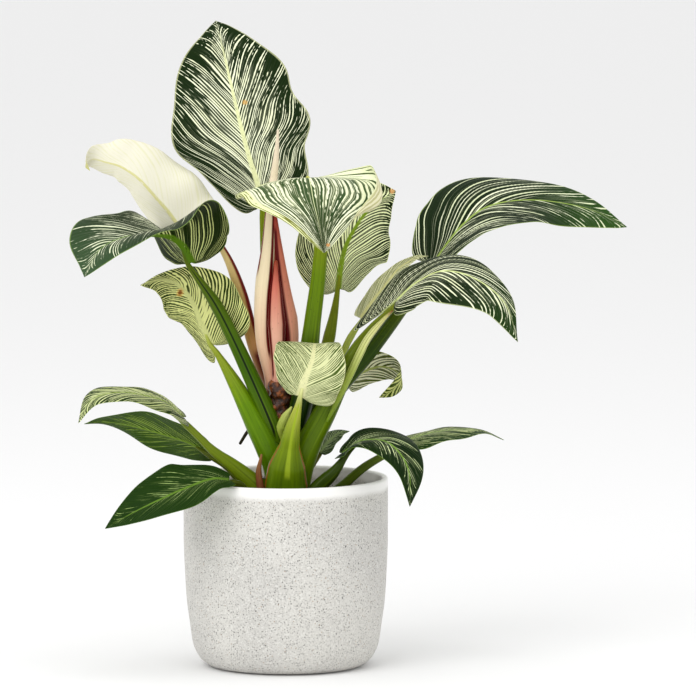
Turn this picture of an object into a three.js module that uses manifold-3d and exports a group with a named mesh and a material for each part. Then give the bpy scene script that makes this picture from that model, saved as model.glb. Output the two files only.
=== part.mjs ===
// A philodendron birkin in a glazed pot, in millimetres, +Z up.
// The origin is the middle of the pot's flat base. -Y is the side with the widest view of the leaves.
// Each leaf is one solid: a waved blade whose rows follow the side veins,
// with its stalk grown into the midrib.

import * as THREE from 'three';
import { mergeVertices } from 'three/addons/utils/BufferGeometryUtils.js';
import Module from 'manifold-3d';

const wasm = await Module();
wasm.setup();

// Driving dimensions
const POT_HEIGHT = 139.5;
const POT_RADIUS = 75;          // outside, at the rim
const POT_WALL = 4;
const POT_FLOOR = 6;
const POT_SIDES = 36;
const RIM_ROUND = 1.4;
const SOIL_TOP = 118;
const SOIL_SWELL = 3;           // how much higher the soil stands at the stem than at the wall
const GAP = 0.32;               // between pieces that touch
const BLADE_THICKNESS = 0.8;
const MIDRIB_DEPTH = 1.1;       // extra thickness under the midrib, at the leaf's base
const ROW_STEP = 9;             // along the midrib, between side veins
const MOST_ROWS = 14;
const FEWEST_ROWS = 9;
const BLADE_COLUMNS = 4;        // steps from the midrib to one margin
const STALK_SIDES = 8;
const STALK_STEPS = 8;
const FIRST_ROW_ON_MIDRIB = 0.24;   // rows before this all start where the stalk joins
const VEIN_LEAD = 1.1;              // how far the side veins sweep towards the tip
const VEIN_BEND = [0.36, 0.56];     // a side vein's middle, as shares of its way along and across
const STALK_UNDER = 2.4;            // from the blade's middle to the stalk's, where they join
const STALK_UNDER_END = 1.1;        // the same where the stalk has thinned out
const STALK_END_PLACE = 0.1;        // the midrib's share that the stalk runs under
const STALK_END_RADII = [2.6, 1];
const STEM_SIDES = 12;
const POT_FLOOR_RADIUS = 57;        // flat part of the floor, inside
const SOIL_SHOULDER = [40, 0.7];    // radius where the soil has risen by this share of its swell
const SAME_POINT = 1e-4;            // points closer than this are one
const TANGENT_STEP = 0.01;          // of the midrib, each way, to find its direction
const ROLL_START = 0.72;            // how far out a rolled margin starts
const ROLL_CREASE = 8;              // width of the crease in which it turns over
const STRAIGHT = 1e-6;              // bends below this are drawn as this

// Colours
const COLOUR = {
  pot: 0xe2e0da,
  soil: 0x33261c,
  stem: 0x5a3a20,
  darkLeaf: 0x2f5a32,
  paleLeaf: 0xa9b878,
  cream: 0xe9e0bf,
  pink: 0xd08878,
  root: 0x2a221c,
  dryBrown: 0x8a5a3c,
  membrane: 0xb9b48a,
};

// Each leaf: the stalk's route and radii, the midrib's route, and the upper face's direction along it.
// left and right are the blade's halves, seen on the upper face with the tip up:
// width of the half, lobe behind the stalk, full 0 to 1 towards the tip, taper towards the base,
// fold and curl in degrees from base to tip,
// wave as height, number, phase and how far it sways the margin,
// and roll in degrees from base to tip, by which a strip along the margin turns over, if it does.
const LEAVES = {
  leaf_small_front: {
    colour: COLOUR.paleLeaf,
    stalk: [[0.5, -17, 105], [0.5, -20, 124.5], [0.5, -24, 141.5], [2, -30, 158], [5, -38, 178],
      [9.5, -43, 196.5]],
    radii: [12, 15, 15.8, 13.5, 7.6, 5.4],
    midrib: [[11.5, -46, 205.5], [13.5, -49, 214], [16.5, -49, 222], [19.5, -47, 230], [21, -42, 237.5],
      [21.5, -33, 240.5], [22, -24, 238.5]],
    face: [[0.1, 1, 0.1], [0, 1, 0], [0, 1, -0.1], [0, 0.6, -0.8], [0, 0, -1]],
    left: {
      width: 27, lobe: 5, full: 0.7, taper: 0,
      fold: [-5, -20, -15, 0], curl: [10, 10, 10], wave: [1, 2, 0.2, 1],
    },
    right: {
      width: 30, lobe: 2, full: 0.9, taper: 1.9,
      fold: [-5, -20, -15, 0], curl: [10, 10, 10], wave: [1, 2.2, 0.6, 1],
    },
  },
  leaf_drooping_right: {
    colour: COLOUR.darkLeaf,
    stalk: [[7.5, -10, 105.5], [9, -13, 134], [15, -18, 161], [29.5, -22, 190.5], [48.5, -20, 229],
      [64.5, -14, 251]],
    radii: [8, 9, 9.5, 8.4, 7, 5],
    midrib: [[81.5, -22, 272], [95.5, -28, 285], [115, -38, 294.5], [138, -50, 290], [159, -58, 273],
      [169, -62, 245]],
    face: [[-0.2, -0.5, 1], [0, -0.5, 1], [0.6, -0.5, 0.6]],
    left: {
      width: 29, lobe: 44, full: -0.1, taper: 0.9,
      fold: [10, 0, 0], curl: [0, -20, -10], wave: [1.5, 2.1, 0.3, 0.6],
    },
    right: {
      width: 36, lobe: 5, full: 0.6, taper: 1.6,
      fold: [-10, 0, 0], curl: [0, -20, -10], wave: [1.5, 2.2, 0.7, 0.6],
    },
  },
  leaf_saddle_left: {
    colour: COLOUR.darkLeaf,
    stalk: [[-6.5, -4, 160], [-8, -7, 172], [-15, -10, 191], [-33.5, -14, 233], [-49.5, -15, 265.5],
      [-61.5, -14, 283.5]],
    radii: [6, 7, 6.2, 5.6, 5, 4.6],
    midrib: [[-69.5, -12, 298.5], [-76, -15, 311], [-85.5, -24, 319], [-99.5, -38, 321.5],
      [-118, -54, 320], [-134, -66, 312.5], [-145, -74, 293.5]],
    face: [[0.8, 0.5, 0.4], [0.2, -0.1, 1], [-0.3, -0.6, 1], [-0.8, -0.7, 0.4]],
    left: {
      width: 42, lobe: 6, full: 0.6, taper: 0.2,
      fold: [80, 30, 0], curl: [25, -20, -10], wave: [1.5, 2, 0.1, 0.6],
    },
    right: {
      width: 44, lobe: 2, full: 0.9, taper: 0.9,
      fold: [2, 18, 0], curl: [0, -20, -10], wave: [2.4, 1.6, -0.2, 8],
    },
  },
  leaf_pale_left: {
    colour: COLOUR.paleLeaf,
    stalk: [[-7, -5, 139.5], [-10, -8, 154], [-21.5, -9, 179.5], [-35, -8, 205.5], [-49, -5, 229]],
    radii: [8, 9, 8.5, 7, 5],
    midrib: [[-54.5, -2, 238], [-60.5, -1, 250.5], [-65.5, 2, 263], [-71.5, 7, 272.5], [-80.5, 14, 280],
      [-93, 19, 282], [-107, 21, 278.5]],
    face: [[0.4, 1, 0.3], [0.4, 1, 0.2], [0.3, 0.9, -0.4], [0.3, 0.7, -0.8], [0.3, 0.7, -0.8]],
    left: {
      width: 36, lobe: 6, full: -0.3, taper: 0,
      fold: [10, 0, 0], curl: [10, 20, 10], wave: [1.2, 2, 0.2, 0.6],
    },
    right: {
      width: 21, lobe: 14, full: 0.9, taper: 0.8,
      fold: [20, 5, 0], curl: [10, 20, 10], wave: [0.7, 1.3, 0.35, 2.5],
    },
  },
  leaf_arched_left: {
    colour: COLOUR.paleLeaf,
    stalk: [[-5, -10, 104], [-8.5, -14, 118], [-20, -18, 133], [-37.5, -20, 149], [-53.5, -21, 161.5],
      [-64.5, -22, 172.5]],
    radii: [8, 8.4, 8, 6, 4, 2.8],
    midrib: [[-76.5, -22, 187.5], [-87, -27, 197], [-101, -34, 202.5], [-120.5, -42, 206],
      [-140.5, -48, 201.5], [-150.5, -50, 184.5]],
    face: [[0.3, -0.35, 1], [0, -0.35, 1], [-0.7, -0.3, 0.6]],
    left: {
      width: 22, lobe: 6, full: 0.5, taper: 0.4,
      fold: [10, 10, 0], curl: [-20, -20, -10], wave: [1.2, 2, 0.2, 0.6],
    },
    right: {
      width: 22, lobe: 7, full: 0.8, taper: 0.4,
      fold: [0, 0, 0], curl: [-20, -20, -10], wave: [1.2, 2.2, 0.6, 0.6],
    },
  },
  leaf_front_arched: {
    colour: COLOUR.paleLeaf,
    stalk: [[3, 0, 166.5], [10, -6, 188], [15, -11, 215.5], [20, -13, 256.5], [24.5, -14, 293],
      [25.5, -14, 326]],
    radii: [8, 8.5, 7.5, 6.2, 5.6, 5],
    midrib: [[16.5, -10, 360], [17.5, -30, 361], [19, -52, 357], [21, -75, 347.5], [25, -95, 332.5],
      [28.5, -106, 314]],
    face: [[-0.2, -0.2, 1], [-0.15, -0.3, 1], [0, -0.8, 0.8]],
    left: {
      width: 67, lobe: 9, full: 0.3, taper: 0.2,
      fold: [-10, -18, 0], curl: [-18, -30, 0], wave: [1, 2.3, 0.2, 1.5], roll: [130, 155, 150],
    },
    right: {
      width: 54, lobe: 12, full: 0.1, taper: 0,
      fold: [12, 8, 10], curl: [-30, -15, 0], wave: [2, 2.5, 0.6, 1.5],
    },
  },
  leaf_long_right: {
    colour: COLOUR.darkLeaf,
    stalk: [[0, 4, 158], [9, 7, 168], [19, 11, 180.5], [37.5, 19, 202.5], [62, 28, 229],
      [87.5, 36, 262.5], [100, 39, 280.5]],
    radii: [7.5, 8, 7.4, 6.4, 5.4, 5, 4.4],
    midrib: [[111.5, 42, 296.5], [120, 46, 308], [130.5, 52, 320], [146, 59, 331.5], [167, 66, 336.5],
      [193.5, 71, 336], [225, 73, 329.5], [252.5, 74, 316.5]],
    face: [[-0.2, -0.5, 1], [0, -0.6, 1], [0.2, -0.6, 1]],
    left: {
      width: 48, lobe: 8, full: 0, taper: 1.5,
      fold: [15, 0, 0], curl: [0, -25, -20], wave: [2, 2.2, 0.4, 0.6],
    },
    right: {
      width: 42, lobe: 4, full: 0.8, taper: 1,
      fold: [25, 10, 0], curl: [0, 0, 0], wave: [1.6, 2.4, 0.1, 0.6],
    },
  },
  leaf_behind_right: {
    colour: COLOUR.darkLeaf,
    stalk: [[0, 6, 165], [10, 11, 172], [19, 16, 184], [26.5, 24, 215.5], [34.5, 29, 252]],
    radii: [5, 5, 5, 5, 4.5],
    midrib: [[38.5, 31, 275.5], [40.5, 33, 291], [44, 36, 305.5], [51, 40, 319], [59.5, 44, 330.5],
      [70, 48, 339], [81, 52, 345.5]],
    face: [[0.1, 1, 0.1], [0.1, 1, 0.1], [0.1, 1, 0.3]],
    left: {
      width: 34, lobe: 1, full: 0.75, taper: 2,
      fold: [10, 10, 10], curl: [10, 10, 0], wave: [1.2, 1.5, 0.2, 0],
    },
    right: {
      width: 39, lobe: 6, full: 0.7, taper: 1.1,
      fold: [10, 10, 10], curl: [10, 10, 0], wave: [2, 2.1, 0.6, 1],
    },
  },
  leaf_new_cream: {
    colour: COLOUR.cream,
    stalk: [[-9, 1, 197], [-11, 3, 209], [-17.5, 5, 223.5], [-26, 9, 247], [-33.5, 12, 275.5],
      [-43.5, 15, 300.5], [-54, 16, 313.5]],
    radii: [5, 6, 6, 5, 4.6, 3.8, 2.6],
    midrib: [[-68, 18, 312], [-78.5, 20, 322.5], [-86.5, 22, 333], [-94.5, 24, 342], [-108, 27, 356.5],
      [-121, 31, 365], [-132, 34, 368], [-141.5, 33, 370.5], [-146.5, 25, 368], [-143.5, 18, 363]],
    face: [[-0.1, 1, 0.1], [-0.2, 1, 0.3], [-0.2, 1, 0.3], [-0.3, 1, 0.3], [-1, -0.3, 0.1]],
    left: {
      width: 37, lobe: 8, full: 0, taper: 0.6,
      fold: [10, 10, 10], curl: [20, 30, 60, 50, 0], wave: [1, 1.6, 0.2, 0.6],
    },
    right: {
      width: 23, lobe: 8, full: 0.1, taper: 0,
      fold: [20, 20, 15, 10, 0], curl: [30, 40, 60, 40, 0], wave: [1, 1.6, 0.4, 0.6],
    },
  },
  leaf_top: {
    colour: COLOUR.darkLeaf,
    stalk: [[-11, 3, 196], [-13.5, 9, 208], [-14.5, 13, 224.5], [-16, 22, 267.5], [-16.5, 29, 304]],
    radii: [4, 4.5, 3.2, 2.6, 2.4],
    midrib: [[-17.5, 27, 341], [-22.5, 29, 358.5], [-27.5, 32, 374], [-33.5, 38, 396],
      [-39.5, 46, 420.5], [-45.5, 56, 445.5], [-52, 69, 470]],
    face: [[-0.1, -1, 0.2], [0, -1, 0.25], [0, -1, 0.35]],
    left: {
      width: 51, lobe: 6, full: 0.8, taper: 1.9,
      fold: [8, 6, 4], curl: [-10, -15, 10], wave: [3, 2.6, 0.95, 1.5],
    },
    right: {
      width: 49, lobe: 8, full: 0.75, taper: 1.1,
      fold: [8, 6, 4], curl: [-10, -12, 10], wave: [3, 3, 0.95, 3],
    },
  },
  leaf_narrow_right: {
    colour: COLOUR.paleLeaf,
    stalk: [[6, 4, 158], [20, 9, 180], [34, 15, 210], [46, 18, 237.5]],
    radii: [4, 3.6, 3, 2.4],
    midrib: [[55.5, 19, 254.5], [62.5, 19, 265], [70, 20, 274.5], [76.5, 21, 283], [83, 22, 290.5],
      [90, 22, 295.5], [97, 22, 299], [105, 22, 300]],
    face: [[-0.6, -1, 0.3], [-0.4, -1, 0.4], [0, -1, 0.6]],
    left: {
      width: 8, lobe: 1, full: 0, taper: 0.3,
      fold: [20, 20, 10], curl: [0, 0, 0], wave: [0, 2, 0.2, 0.6],
    },
    right: {
      width: 8, lobe: 1, full: 0, taper: 0.3,
      fold: [20, 20, 10], curl: [0, 0, 0], wave: [0, 2.2, 0.6, 0.6],
    },
  },
  leaf_small_right: {
    colour: COLOUR.paleLeaf,
    stalk: [[2, 9, 150], [12, 20, 163.5], [28, 33, 187], [41, 42, 203.5]],
    radii: [4, 4, 3.6, 3],
    midrib: [[47, 44, 206], [57.5, 45, 213], [70, 44, 216.5], [81, 40, 214], [85, 34, 208],
      [79, 28, 201], [68.5, 24, 195]],
    face: [[-0.1, 0.7, 0.7], [0.2, 0.7, 0.8], [0.9, 0.2, 0.3], [0.6, -0.7, -0.5]],
    left: {
      width: 17, lobe: 4, full: 0.5, taper: 0,
      fold: [0, 0, 0], curl: [0, 0, 0], wave: [0.8, 2, 0.2, 0.6],
    },
    right: {
      width: 19, lobe: 3, full: 0.3, taper: -0.6,
      fold: [0, 0, 0], curl: [0, 0, 0], wave: [0.8, 2.2, 0.6, 0.6],
    },
  },
  leaf_small_back: {
    colour: COLOUR.darkLeaf,
    stalk: [[4, 18, 107.5], [8, 25, 121.5], [16, 36, 139]],
    radii: [3, 3, 2.6],
    midrib: [[25, 44, 152.5], [31, 50, 159], [38.5, 58, 164.5], [47, 65, 165.5]],
    face: [[0, -0.6, 1], [0, -0.6, 1]],
    left: {
      width: 9, lobe: 1, full: 0.3, taper: 0,
      fold: [0, 0], curl: [0, 0], wave: [0.6, 2, 0.2, 0.6],
    },
    right: {
      width: 7, lobe: 1, full: 0.2, taper: 0,
      fold: [0, 0], curl: [0, 0], wave: [0.6, 2.2, 0.6, 0.6],
    },
  },
  leaf_lower_right: {
    colour: COLOUR.darkLeaf,
    stalk: [[8, -17, 102], [12, -20, 114], [23, -23, 133], [35.5, -26, 146]],
    radii: [5, 5.4, 6, 5],
    midrib: [[43.5, -28, 161], [56, -38, 170], [72.5, -54, 171.5], [84, -66, 163], [90, -73, 149.5],
      [90.5, -76, 126.5]],
    face: [[-0.2, -0.6, 1], [0.2, -0.6, 1], [0.7, -0.6, 0.4]],
    left: {
      width: 25, lobe: 7, full: 0.5, taper: 1.6,
      fold: [10, 0, 0], curl: [-20, -30, -10], wave: [1.2, 2, 0.2, 0.6],
    },
    right: {
      width: 24, lobe: 5, full: 0.1, taper: 1.4,
      fold: [25, 20, 0], curl: [-20, -30, -10], wave: [1.2, 2.2, 0.6, 0.6],
    },
  },
  leaf_far_right: {
    colour: COLOUR.darkLeaf,
    stalk: [[14, -9, 103.5], [23.5, -9, 119.5], [41.5, -3, 133], [59.5, 5, 147]],
    radii: [3.6, 3.6, 3.6, 3.2],
    midrib: [[85.5, 16, 163], [102.5, 22, 168], [124.5, 30, 170.5], [144.5, 37, 169], [161, 42, 161.5]],
    face: [[0, -0.06, 1], [0, -0.06, 1]],
    left: {
      width: 25, lobe: 4, full: 0.2, taper: 0.6,
      fold: [0, 0], curl: [-20, -10], wave: [1.2, 2, 0.2, 0.6],
    },
    right: {
      width: 25, lobe: 4, full: 0.2, taper: 0.6,
      fold: [0, 0], curl: [-20, -10], wave: [1.2, 2.2, 0.6, 0.6],
    },
  },
  leaf_dark_left: {
    colour: COLOUR.darkLeaf,
    stalk: [[-10, -2, 104], [-17.5, 1, 117.5], [-30.5, 7, 131.5], [-41.5, 13, 144.5]],
    radii: [4, 4, 4, 3.6],
    midrib: [[-56.5, 17, 155.5], [-72, 22, 162.5], [-93, 29, 168.5], [-115, 36, 173.5],
      [-135, 42, 175.5], [-149.5, 46, 173]],
    face: [[0, 0.7, 0.8], [0, 0.7, 0.8], [0, 0.5, 1]],
    left: {
      width: 30, lobe: 2, full: 0, taper: 1.6,
      fold: [0, 0], curl: [-10, -10], wave: [1.2, 2, 0.2, 0.6],
    },
    right: {
      width: 26, lobe: 2, full: 0, taper: 1.6,
      fold: [0, 0], curl: [-10, -10], wave: [1.2, 2.2, 0.6, 0.6],
    },
  },
  leaf_over_rim: {
    colour: COLOUR.darkLeaf,
    stalk: [[-22, -36, 106], [-26, -44, 122], [-31, -51, 138]],
    radii: [3, 3, 3],
    midrib: [[-41.5, -62, 144.5], [-53.5, -68, 145.5], [-71.5, -75, 140], [-90.5, -79, 132],
      [-111, -80, 122], [-130.5, -80, 111]],
    face: [[-0.1, -0.75, 0.65], [-0.1, -0.75, 0.65]],
    left: {
      width: 24, lobe: 2, full: 0.3, taper: 1.7,
      fold: [30, 20], curl: [-20, -10], wave: [0.8, 2, 0.2, 0.6],
    },
    right: {
      width: 30, lobe: 2, full: 0.3, taper: 2.2,
      fold: [0, 0], curl: [-20, -10], wave: [1, 2.2, 0.6, 0.6],
    },
  },
};

// Slim round pieces: routes and radii, each with one colour
const RODS = {
  spear_cream: {
    colour: COLOUR.cream,
    route: [[-11, -4, 205], [-11.5, -4, 214], [-16.5, -6, 241], [-16.5, -6, 273], [-13, -2, 307],
      [-10.5, 5.5, 343.5], [-7, 6, 372.5], [-5.5, 5, 394]],
    radii: [4, 5, 6, 6.4, 4.6, 3.4, 2.6, 0.8],
  },
  sheath_inner_pink: {
    colour: COLOUR.pink,
    route: [[-7, -6, 209], [-5.5, -10, 216], [-6, -10, 237], [-7, -9, 270.5], [-7, -8, 298.5]],
    radii: [4, 5, 6.6, 4.6, 1.4],
  },
  sheath_right_pink: {
    colour: COLOUR.pink,
    route: [[-4, 1, 206], [-1, 0, 214], [3, 0, 240], [-2, 0, 277], [-5.5, 0, 306.5], [-7.5, 0, 332]],
    radii: [5, 6, 7.5, 5.5, 3.6, 1.2],
  },
  sheath_right_green: {
    colour: COLOUR.paleLeaf,
    route: [[30.5, -32, 184], [43, -31, 209.5], [53, -27.5, 230.5], [60.5, -25, 244.5],
      [70.5, -23, 256.5], [78, -23, 264]],
    radii: [1.2, 3, 3.8, 4, 3.2, 0.8],
  },
  aerial_root: {
    colour: COLOUR.root,
    route: [[-10.5, 1, 188.5], [-21, 4, 180], [-28, 6, 172], [-33.5, 8, 163]],
    radii: [1.6, 1.5, 1.3, 1.1],
  },
  dried_sheath: {
    colour: COLOUR.dryBrown,
    route: [[-17, -24, 119.5], [-18, -26, 132], [-19.5, -25, 146], [-17.5, -21, 158]],
    radii: [2.6, 3, 2.2, 0.8],
  },
  membrane: {
    colour: COLOUR.membrane,
    route: [[-2.5, -28, 170.5], [-3, -29, 178.8], [0, -31, 187.3], [4.5, -33, 194.3]],
    radii: [1.4, 3.6, 3, 0.8],
  },
};

const STEM = {
  route: [[-4, 0, 96], [-5, 0, 144.5], [-5, -3, 181], [-3.5, -6, 207]],
  radii: [11, 11, 8, 9],
};

// Outline of half a blade, from the stalk round the lobe and along the margin to the tip.
// x below 0 is in lobe lengths behind the stalk, x above 0 in midrib lengths. y is in half widths.
const OUTLINE_X = [0, -0.55, -1, -0.55, 0.12, 0.38, 0.62, 0.82, 0.94, 1];
const SLIM_Y = [0, 0.1, 0.4, 0.8, 1, 0.93, 0.66, 0.31, 0.1, 0];
const FULL_Y = [0, 0.1, 0.42, 0.84, 1, 1, 0.92, 0.64, 0.26, 0];
const TAPER_Y = [0, 0.35, 0.35, 0.3, 0.14, 0, 0, 0, 0, 0];
const SHOULDER = 4;                 // the outline's widest point, which a strong taper moves forward
const SHOULDER_SHIFT = 0.1;

const radians = THREE.MathUtils.degToRad;
const vector = (point) => new THREE.Vector3(...point);
const curve = (points) => new THREE.CatmullRomCurve3(points.map(vector), false, 'catmullrom', 0.5);

// A smooth step from value to value, evenly spaced along 0 to 1.
function along(values, place) {
  const position = Math.min(Math.max(place, 0), 1) * (values.length - 1);
  const index = Math.min(Math.floor(position), values.length - 2);
  const part = position - index;
  const blend = part * part * (3 - 2 * part);
  if (typeof values[0] === 'number') {
    return THREE.MathUtils.lerp(values[index], values[index + 1], blend);
  }
  return vector(values[index]).lerp(vector(values[index + 1]), blend);
}

// Straight steps from value to value, evenly spaced along 0 to 1.
function between(values, place) {
  const position = Math.min(Math.max(place, 0), 1) * (values.length - 1);
  const index = Math.min(Math.floor(position), values.length - 2);
  return THREE.MathUtils.lerp(values[index], values[index + 1], position - index);
}

// The outline of one half as a curve in the flat blade, x along the midrib.
function outline(half, length) {
  const points = OUTLINE_X.map((x, index) => {
    const shift = index === SHOULDER ? SHOULDER_SHIFT * Math.max(half.taper - 1, 0) : 0;
    const reach = x < 0 ? x * half.lobe : (x + shift) * length;
    const spread = THREE.MathUtils.lerp(SLIM_Y[index], FULL_Y[index], half.full);
    const tapered = Math.max(spread * (1 - half.taper * TAPER_Y[index]), 0);
    return [reach, tapered * half.width, 0];
  });
  return curve(points);
}

// The midrib's frame at a place along it: point, direction to the tip, upper face and right-hand side.
function midribFrame(leaf, midrib, place) {
  const inside = Math.min(Math.max(place, 0), 1);
  const point = midrib.getPointAt(inside);
  const ahead = midrib.getPointAt(Math.min(inside + TANGENT_STEP, 1));
  const tangent = ahead.sub(midrib.getPointAt(Math.max(inside - TANGENT_STEP, 0))).normalize();
  const face = along(leaf.face, inside);
  face.addScaledVector(tangent, -face.dot(tangent)).normalize();
  const side = new THREE.Vector3().crossVectors(tangent, face);
  return { point, tangent, face, side };
}

// A circular arch in the blade's cross-section: where it ends, across and up, and its slope there.
function arch(slope, turn, reach) {
  const bend = Math.abs(turn) < STRAIGHT ? STRAIGHT : turn;
  const end = slope + bend * reach;
  return {
    across: (Math.sin(end) - Math.sin(slope)) / bend,
    rise: (Math.cos(slope) - Math.cos(end)) / bend,
    end,
  };
}

// A point of the blade: flat place (x, y) in one half, carried onto the bent midrib and arched sideways.
// The arch starts at the half's fold angle and turns by its curl over the half's width.
// The strip along the margin, which starts at y = rollFrom, turns over by the half's roll in a crease.
function bladePoint(leaf, midrib, half, sign, x, y, rollFrom) {
  const length = midrib.getLength();
  const frame = midribFrame(leaf, midrib, x / length);
  const curl = radians(along(half.curl, x / length)) / half.width;
  const roll = radians(along(half.roll ?? [0, 0], x / length)) / ROLL_CREASE;
  const beyond = Math.max(y - rollFrom, 0);
  const body = arch(radians(along(half.fold, x / length)), curl, Math.min(y, rollFrom));
  const crease = arch(body.end, curl + roll, Math.min(beyond, ROLL_CREASE));
  const strip = arch(crease.end, curl, Math.max(beyond - ROLL_CREASE, 0));
  const across = body.across + crease.across + strip.across;
  const [height, count, phase] = half.wave;
  const edge = (y / half.width) ** 2;
  const ripple = height * Math.min(edge, 1) * Math.sin(2 * Math.PI * ((count * x) / length + phase));
  const rise = body.rise + crease.rise + strip.rise + ripple;
  return frame.point
    .addScaledVector(frame.tangent, Math.min(x, 0))
    .addScaledVector(frame.side, sign * across)
    .addScaledVector(frame.face, rise);
}

// Rows follow the side veins, so row 0 shrinks to the stalk's end and the last row to the tip.
// Each vein is a quadratic curve from its start on the midrib to its end on the margin.
function bladeGrid(leaf, midrib) {
  const length = midrib.getLength();
  const rows = Math.min(Math.max(Math.round(length / ROW_STEP), FEWEST_ROWS), MOST_ROWS);
  const edges = { left: outline(leaf.left, length), right: outline(leaf.right, length) };
  const grid = [];
  for (let row = 0; row <= rows; row += 1) {
    const place = row / rows;
    const part = Math.max((place - FIRST_ROW_ON_MIDRIB) / (1 - FIRST_ROW_ON_MIDRIB), 0);
    const start = part ** VEIN_LEAD * length;
    const [bendAlong, bendAcross] = VEIN_BEND;
    const line = [];
    for (let column = -BLADE_COLUMNS; column <= BLADE_COLUMNS; column += 1) {
      const sign = column < 0 ? -1 : 1;
      const half = column < 0 ? leaf.left : leaf.right;
      const edge = (column < 0 ? edges.left : edges.right).getPoint(place);
      const out = Math.abs(column) / BLADE_COLUMNS;
      const middleX = start + bendAlong * (edge.x - start);
      const [, count, phase, sway] = half.wave;
      const swell = 1 + (sway / half.width) * Math.cos(2 * Math.PI * ((count * edge.x) / length + phase));
      const middleShare = 2 * out * (1 - out);
      const x = (1 - out) ** 2 * start + middleShare * middleX + out ** 2 * edge.x;
      const margin = edge.y * swell;
      const y = (middleShare * bendAcross + out ** 2) * margin;
      const rollFrom = (2 * ROLL_START * (1 - ROLL_START) * bendAcross + ROLL_START ** 2) * margin;
      line.push(bladePoint(leaf, midrib, half, sign, x, y, rollFrom));
    }
    grid.push(line);
  }
  return grid;
}

// The upper face's direction at each grid point, from the points round it.
function gridNormals(leaf, midrib, grid) {
  const atBase = midribFrame(leaf, midrib, 0).face;
  const atTip = midribFrame(leaf, midrib, 1).face;
  const last = grid.length - 1;
  return grid.map((line, row) => line.map((point, column) => {
    if (point.distanceTo(grid[0][0]) < SAME_POINT) {
      return atBase;
    }
    if (row === last) {
      return atTip;
    }
    const across = line[Math.min(column + 1, line.length - 1)].clone().sub(line[Math.max(column - 1, 0)]);
    const ahead = grid[row + 1][column].clone().sub(grid[Math.max(row - 1, 0)][column]);
    return across.cross(ahead).normalize();
  }));
}

// A closed mesh from a list of triangles of points. Equal points are joined, and empty triangles dropped.
function closedGeometry(triangles) {
  const geometry = new THREE.BufferGeometry().setFromPoints(triangles.flat());
  const merged = mergeVertices(geometry, SAME_POINT);
  const kept = [];
  const index = merged.getIndex().array;
  for (let corner = 0; corner < index.length; corner += 3) {
    const [a, b, c] = index.slice(corner, corner + 3);
    if (a !== b && b !== c && a !== c) {
      kept.push(a, b, c);
    }
  }
  merged.setIndex(kept);
  return merged;
}

function toSolid(geometry) {
  const mesh = new wasm.Mesh({
    numProp: 3,
    vertProperties: new Float32Array(geometry.getAttribute('position').array),
    triVerts: new Uint32Array(geometry.getIndex().array),
  });
  return new wasm.Manifold(mesh);
}

// Two faces of the grid, both split along the same diagonals, joined by a wall along the margin.
function bladeSolid(leaf, midrib) {
  const grid = bladeGrid(leaf, midrib);
  const normals = gridNormals(leaf, midrib, grid);
  const rows = grid.length - 1;
  const half = BLADE_THICKNESS / 2;
  const top = grid.map((line, row) => line.map((point, column) => (
    point.clone().addScaledVector(normals[row][column], half))));
  const bottom = grid.map((line, row) => line.map((point, column) => {
    const rib = column === BLADE_COLUMNS ? MIDRIB_DEPTH * (1 - row / rows) : 0;
    const atBase = point.distanceTo(grid[0][0]) < SAME_POINT;
    return point.clone().addScaledVector(normals[row][column], -half - (atBase ? MIDRIB_DEPTH : rib));
  }));
  const triangles = [];
  const last = 2 * BLADE_COLUMNS;
  for (let row = 0; row < rows; row += 1) {
    const next = row + 1;
    for (let column = 0; column < last; column += 1) {
      const beside = column + 1;
      triangles.push([top[row][column], top[row][beside], top[next][beside]]);
      triangles.push([top[row][column], top[next][beside], top[next][column]]);
      triangles.push([bottom[row][column], bottom[next][beside], bottom[row][beside]]);
      triangles.push([bottom[row][column], bottom[next][column], bottom[next][beside]]);
    }
    triangles.push([top[next][last], top[row][last], bottom[row][last]]);
    triangles.push([top[next][last], bottom[row][last], bottom[next][last]]);
    triangles.push([top[row][0], top[next][0], bottom[next][0]]);
    triangles.push([top[row][0], bottom[next][0], bottom[row][0]]);
  }
  return toSolid(closedGeometry(triangles));
}

// Rings of even sides along a route, closed by a fan at each end.
function rodSolid(route, radii, swell, sides, steps) {
  const path = curve(route);
  const rings = [];
  let side = new THREE.Vector3(1, 0, 0);
  for (let step = 0; step <= steps; step += 1) {
    const place = step / steps;
    const centre = path.getPointAt(place);
    const tangent = path.getTangentAt(place);
    side = side.clone().addScaledVector(tangent, -side.dot(tangent)).normalize();
    const other = new THREE.Vector3().crossVectors(tangent, side);
    const radius = between(radii, place) + swell;
    if (step === 0) {
      centre.addScaledVector(tangent, -swell);
    }
    if (step === steps) {
      centre.addScaledVector(tangent, swell);
    }
    const ring = [];
    for (let corner = 0; corner < sides; corner += 1) {
      const angle = (2 * Math.PI * corner) / sides;
      ring.push(centre.clone()
        .addScaledVector(side, radius * Math.cos(angle))
        .addScaledVector(other, radius * Math.sin(angle)));
    }
    rings.push({ centre, ring });
  }
  const triangles = [];
  const first = rings[0];
  const final = rings[steps];
  for (let corner = 0; corner < sides; corner += 1) {
    const next = (corner + 1) % sides;
    triangles.push([first.centre, first.ring[next], first.ring[corner]]);
    triangles.push([final.centre, final.ring[corner], final.ring[next]]);
    for (let step = 0; step < steps; step += 1) {
      const here = rings[step].ring;
      const ahead = rings[step + 1].ring;
      triangles.push([here[corner], here[next], ahead[next]]);
      triangles.push([here[corner], ahead[next], ahead[corner]]);
    }
  }
  return toSolid(closedGeometry(triangles));
}

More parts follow.
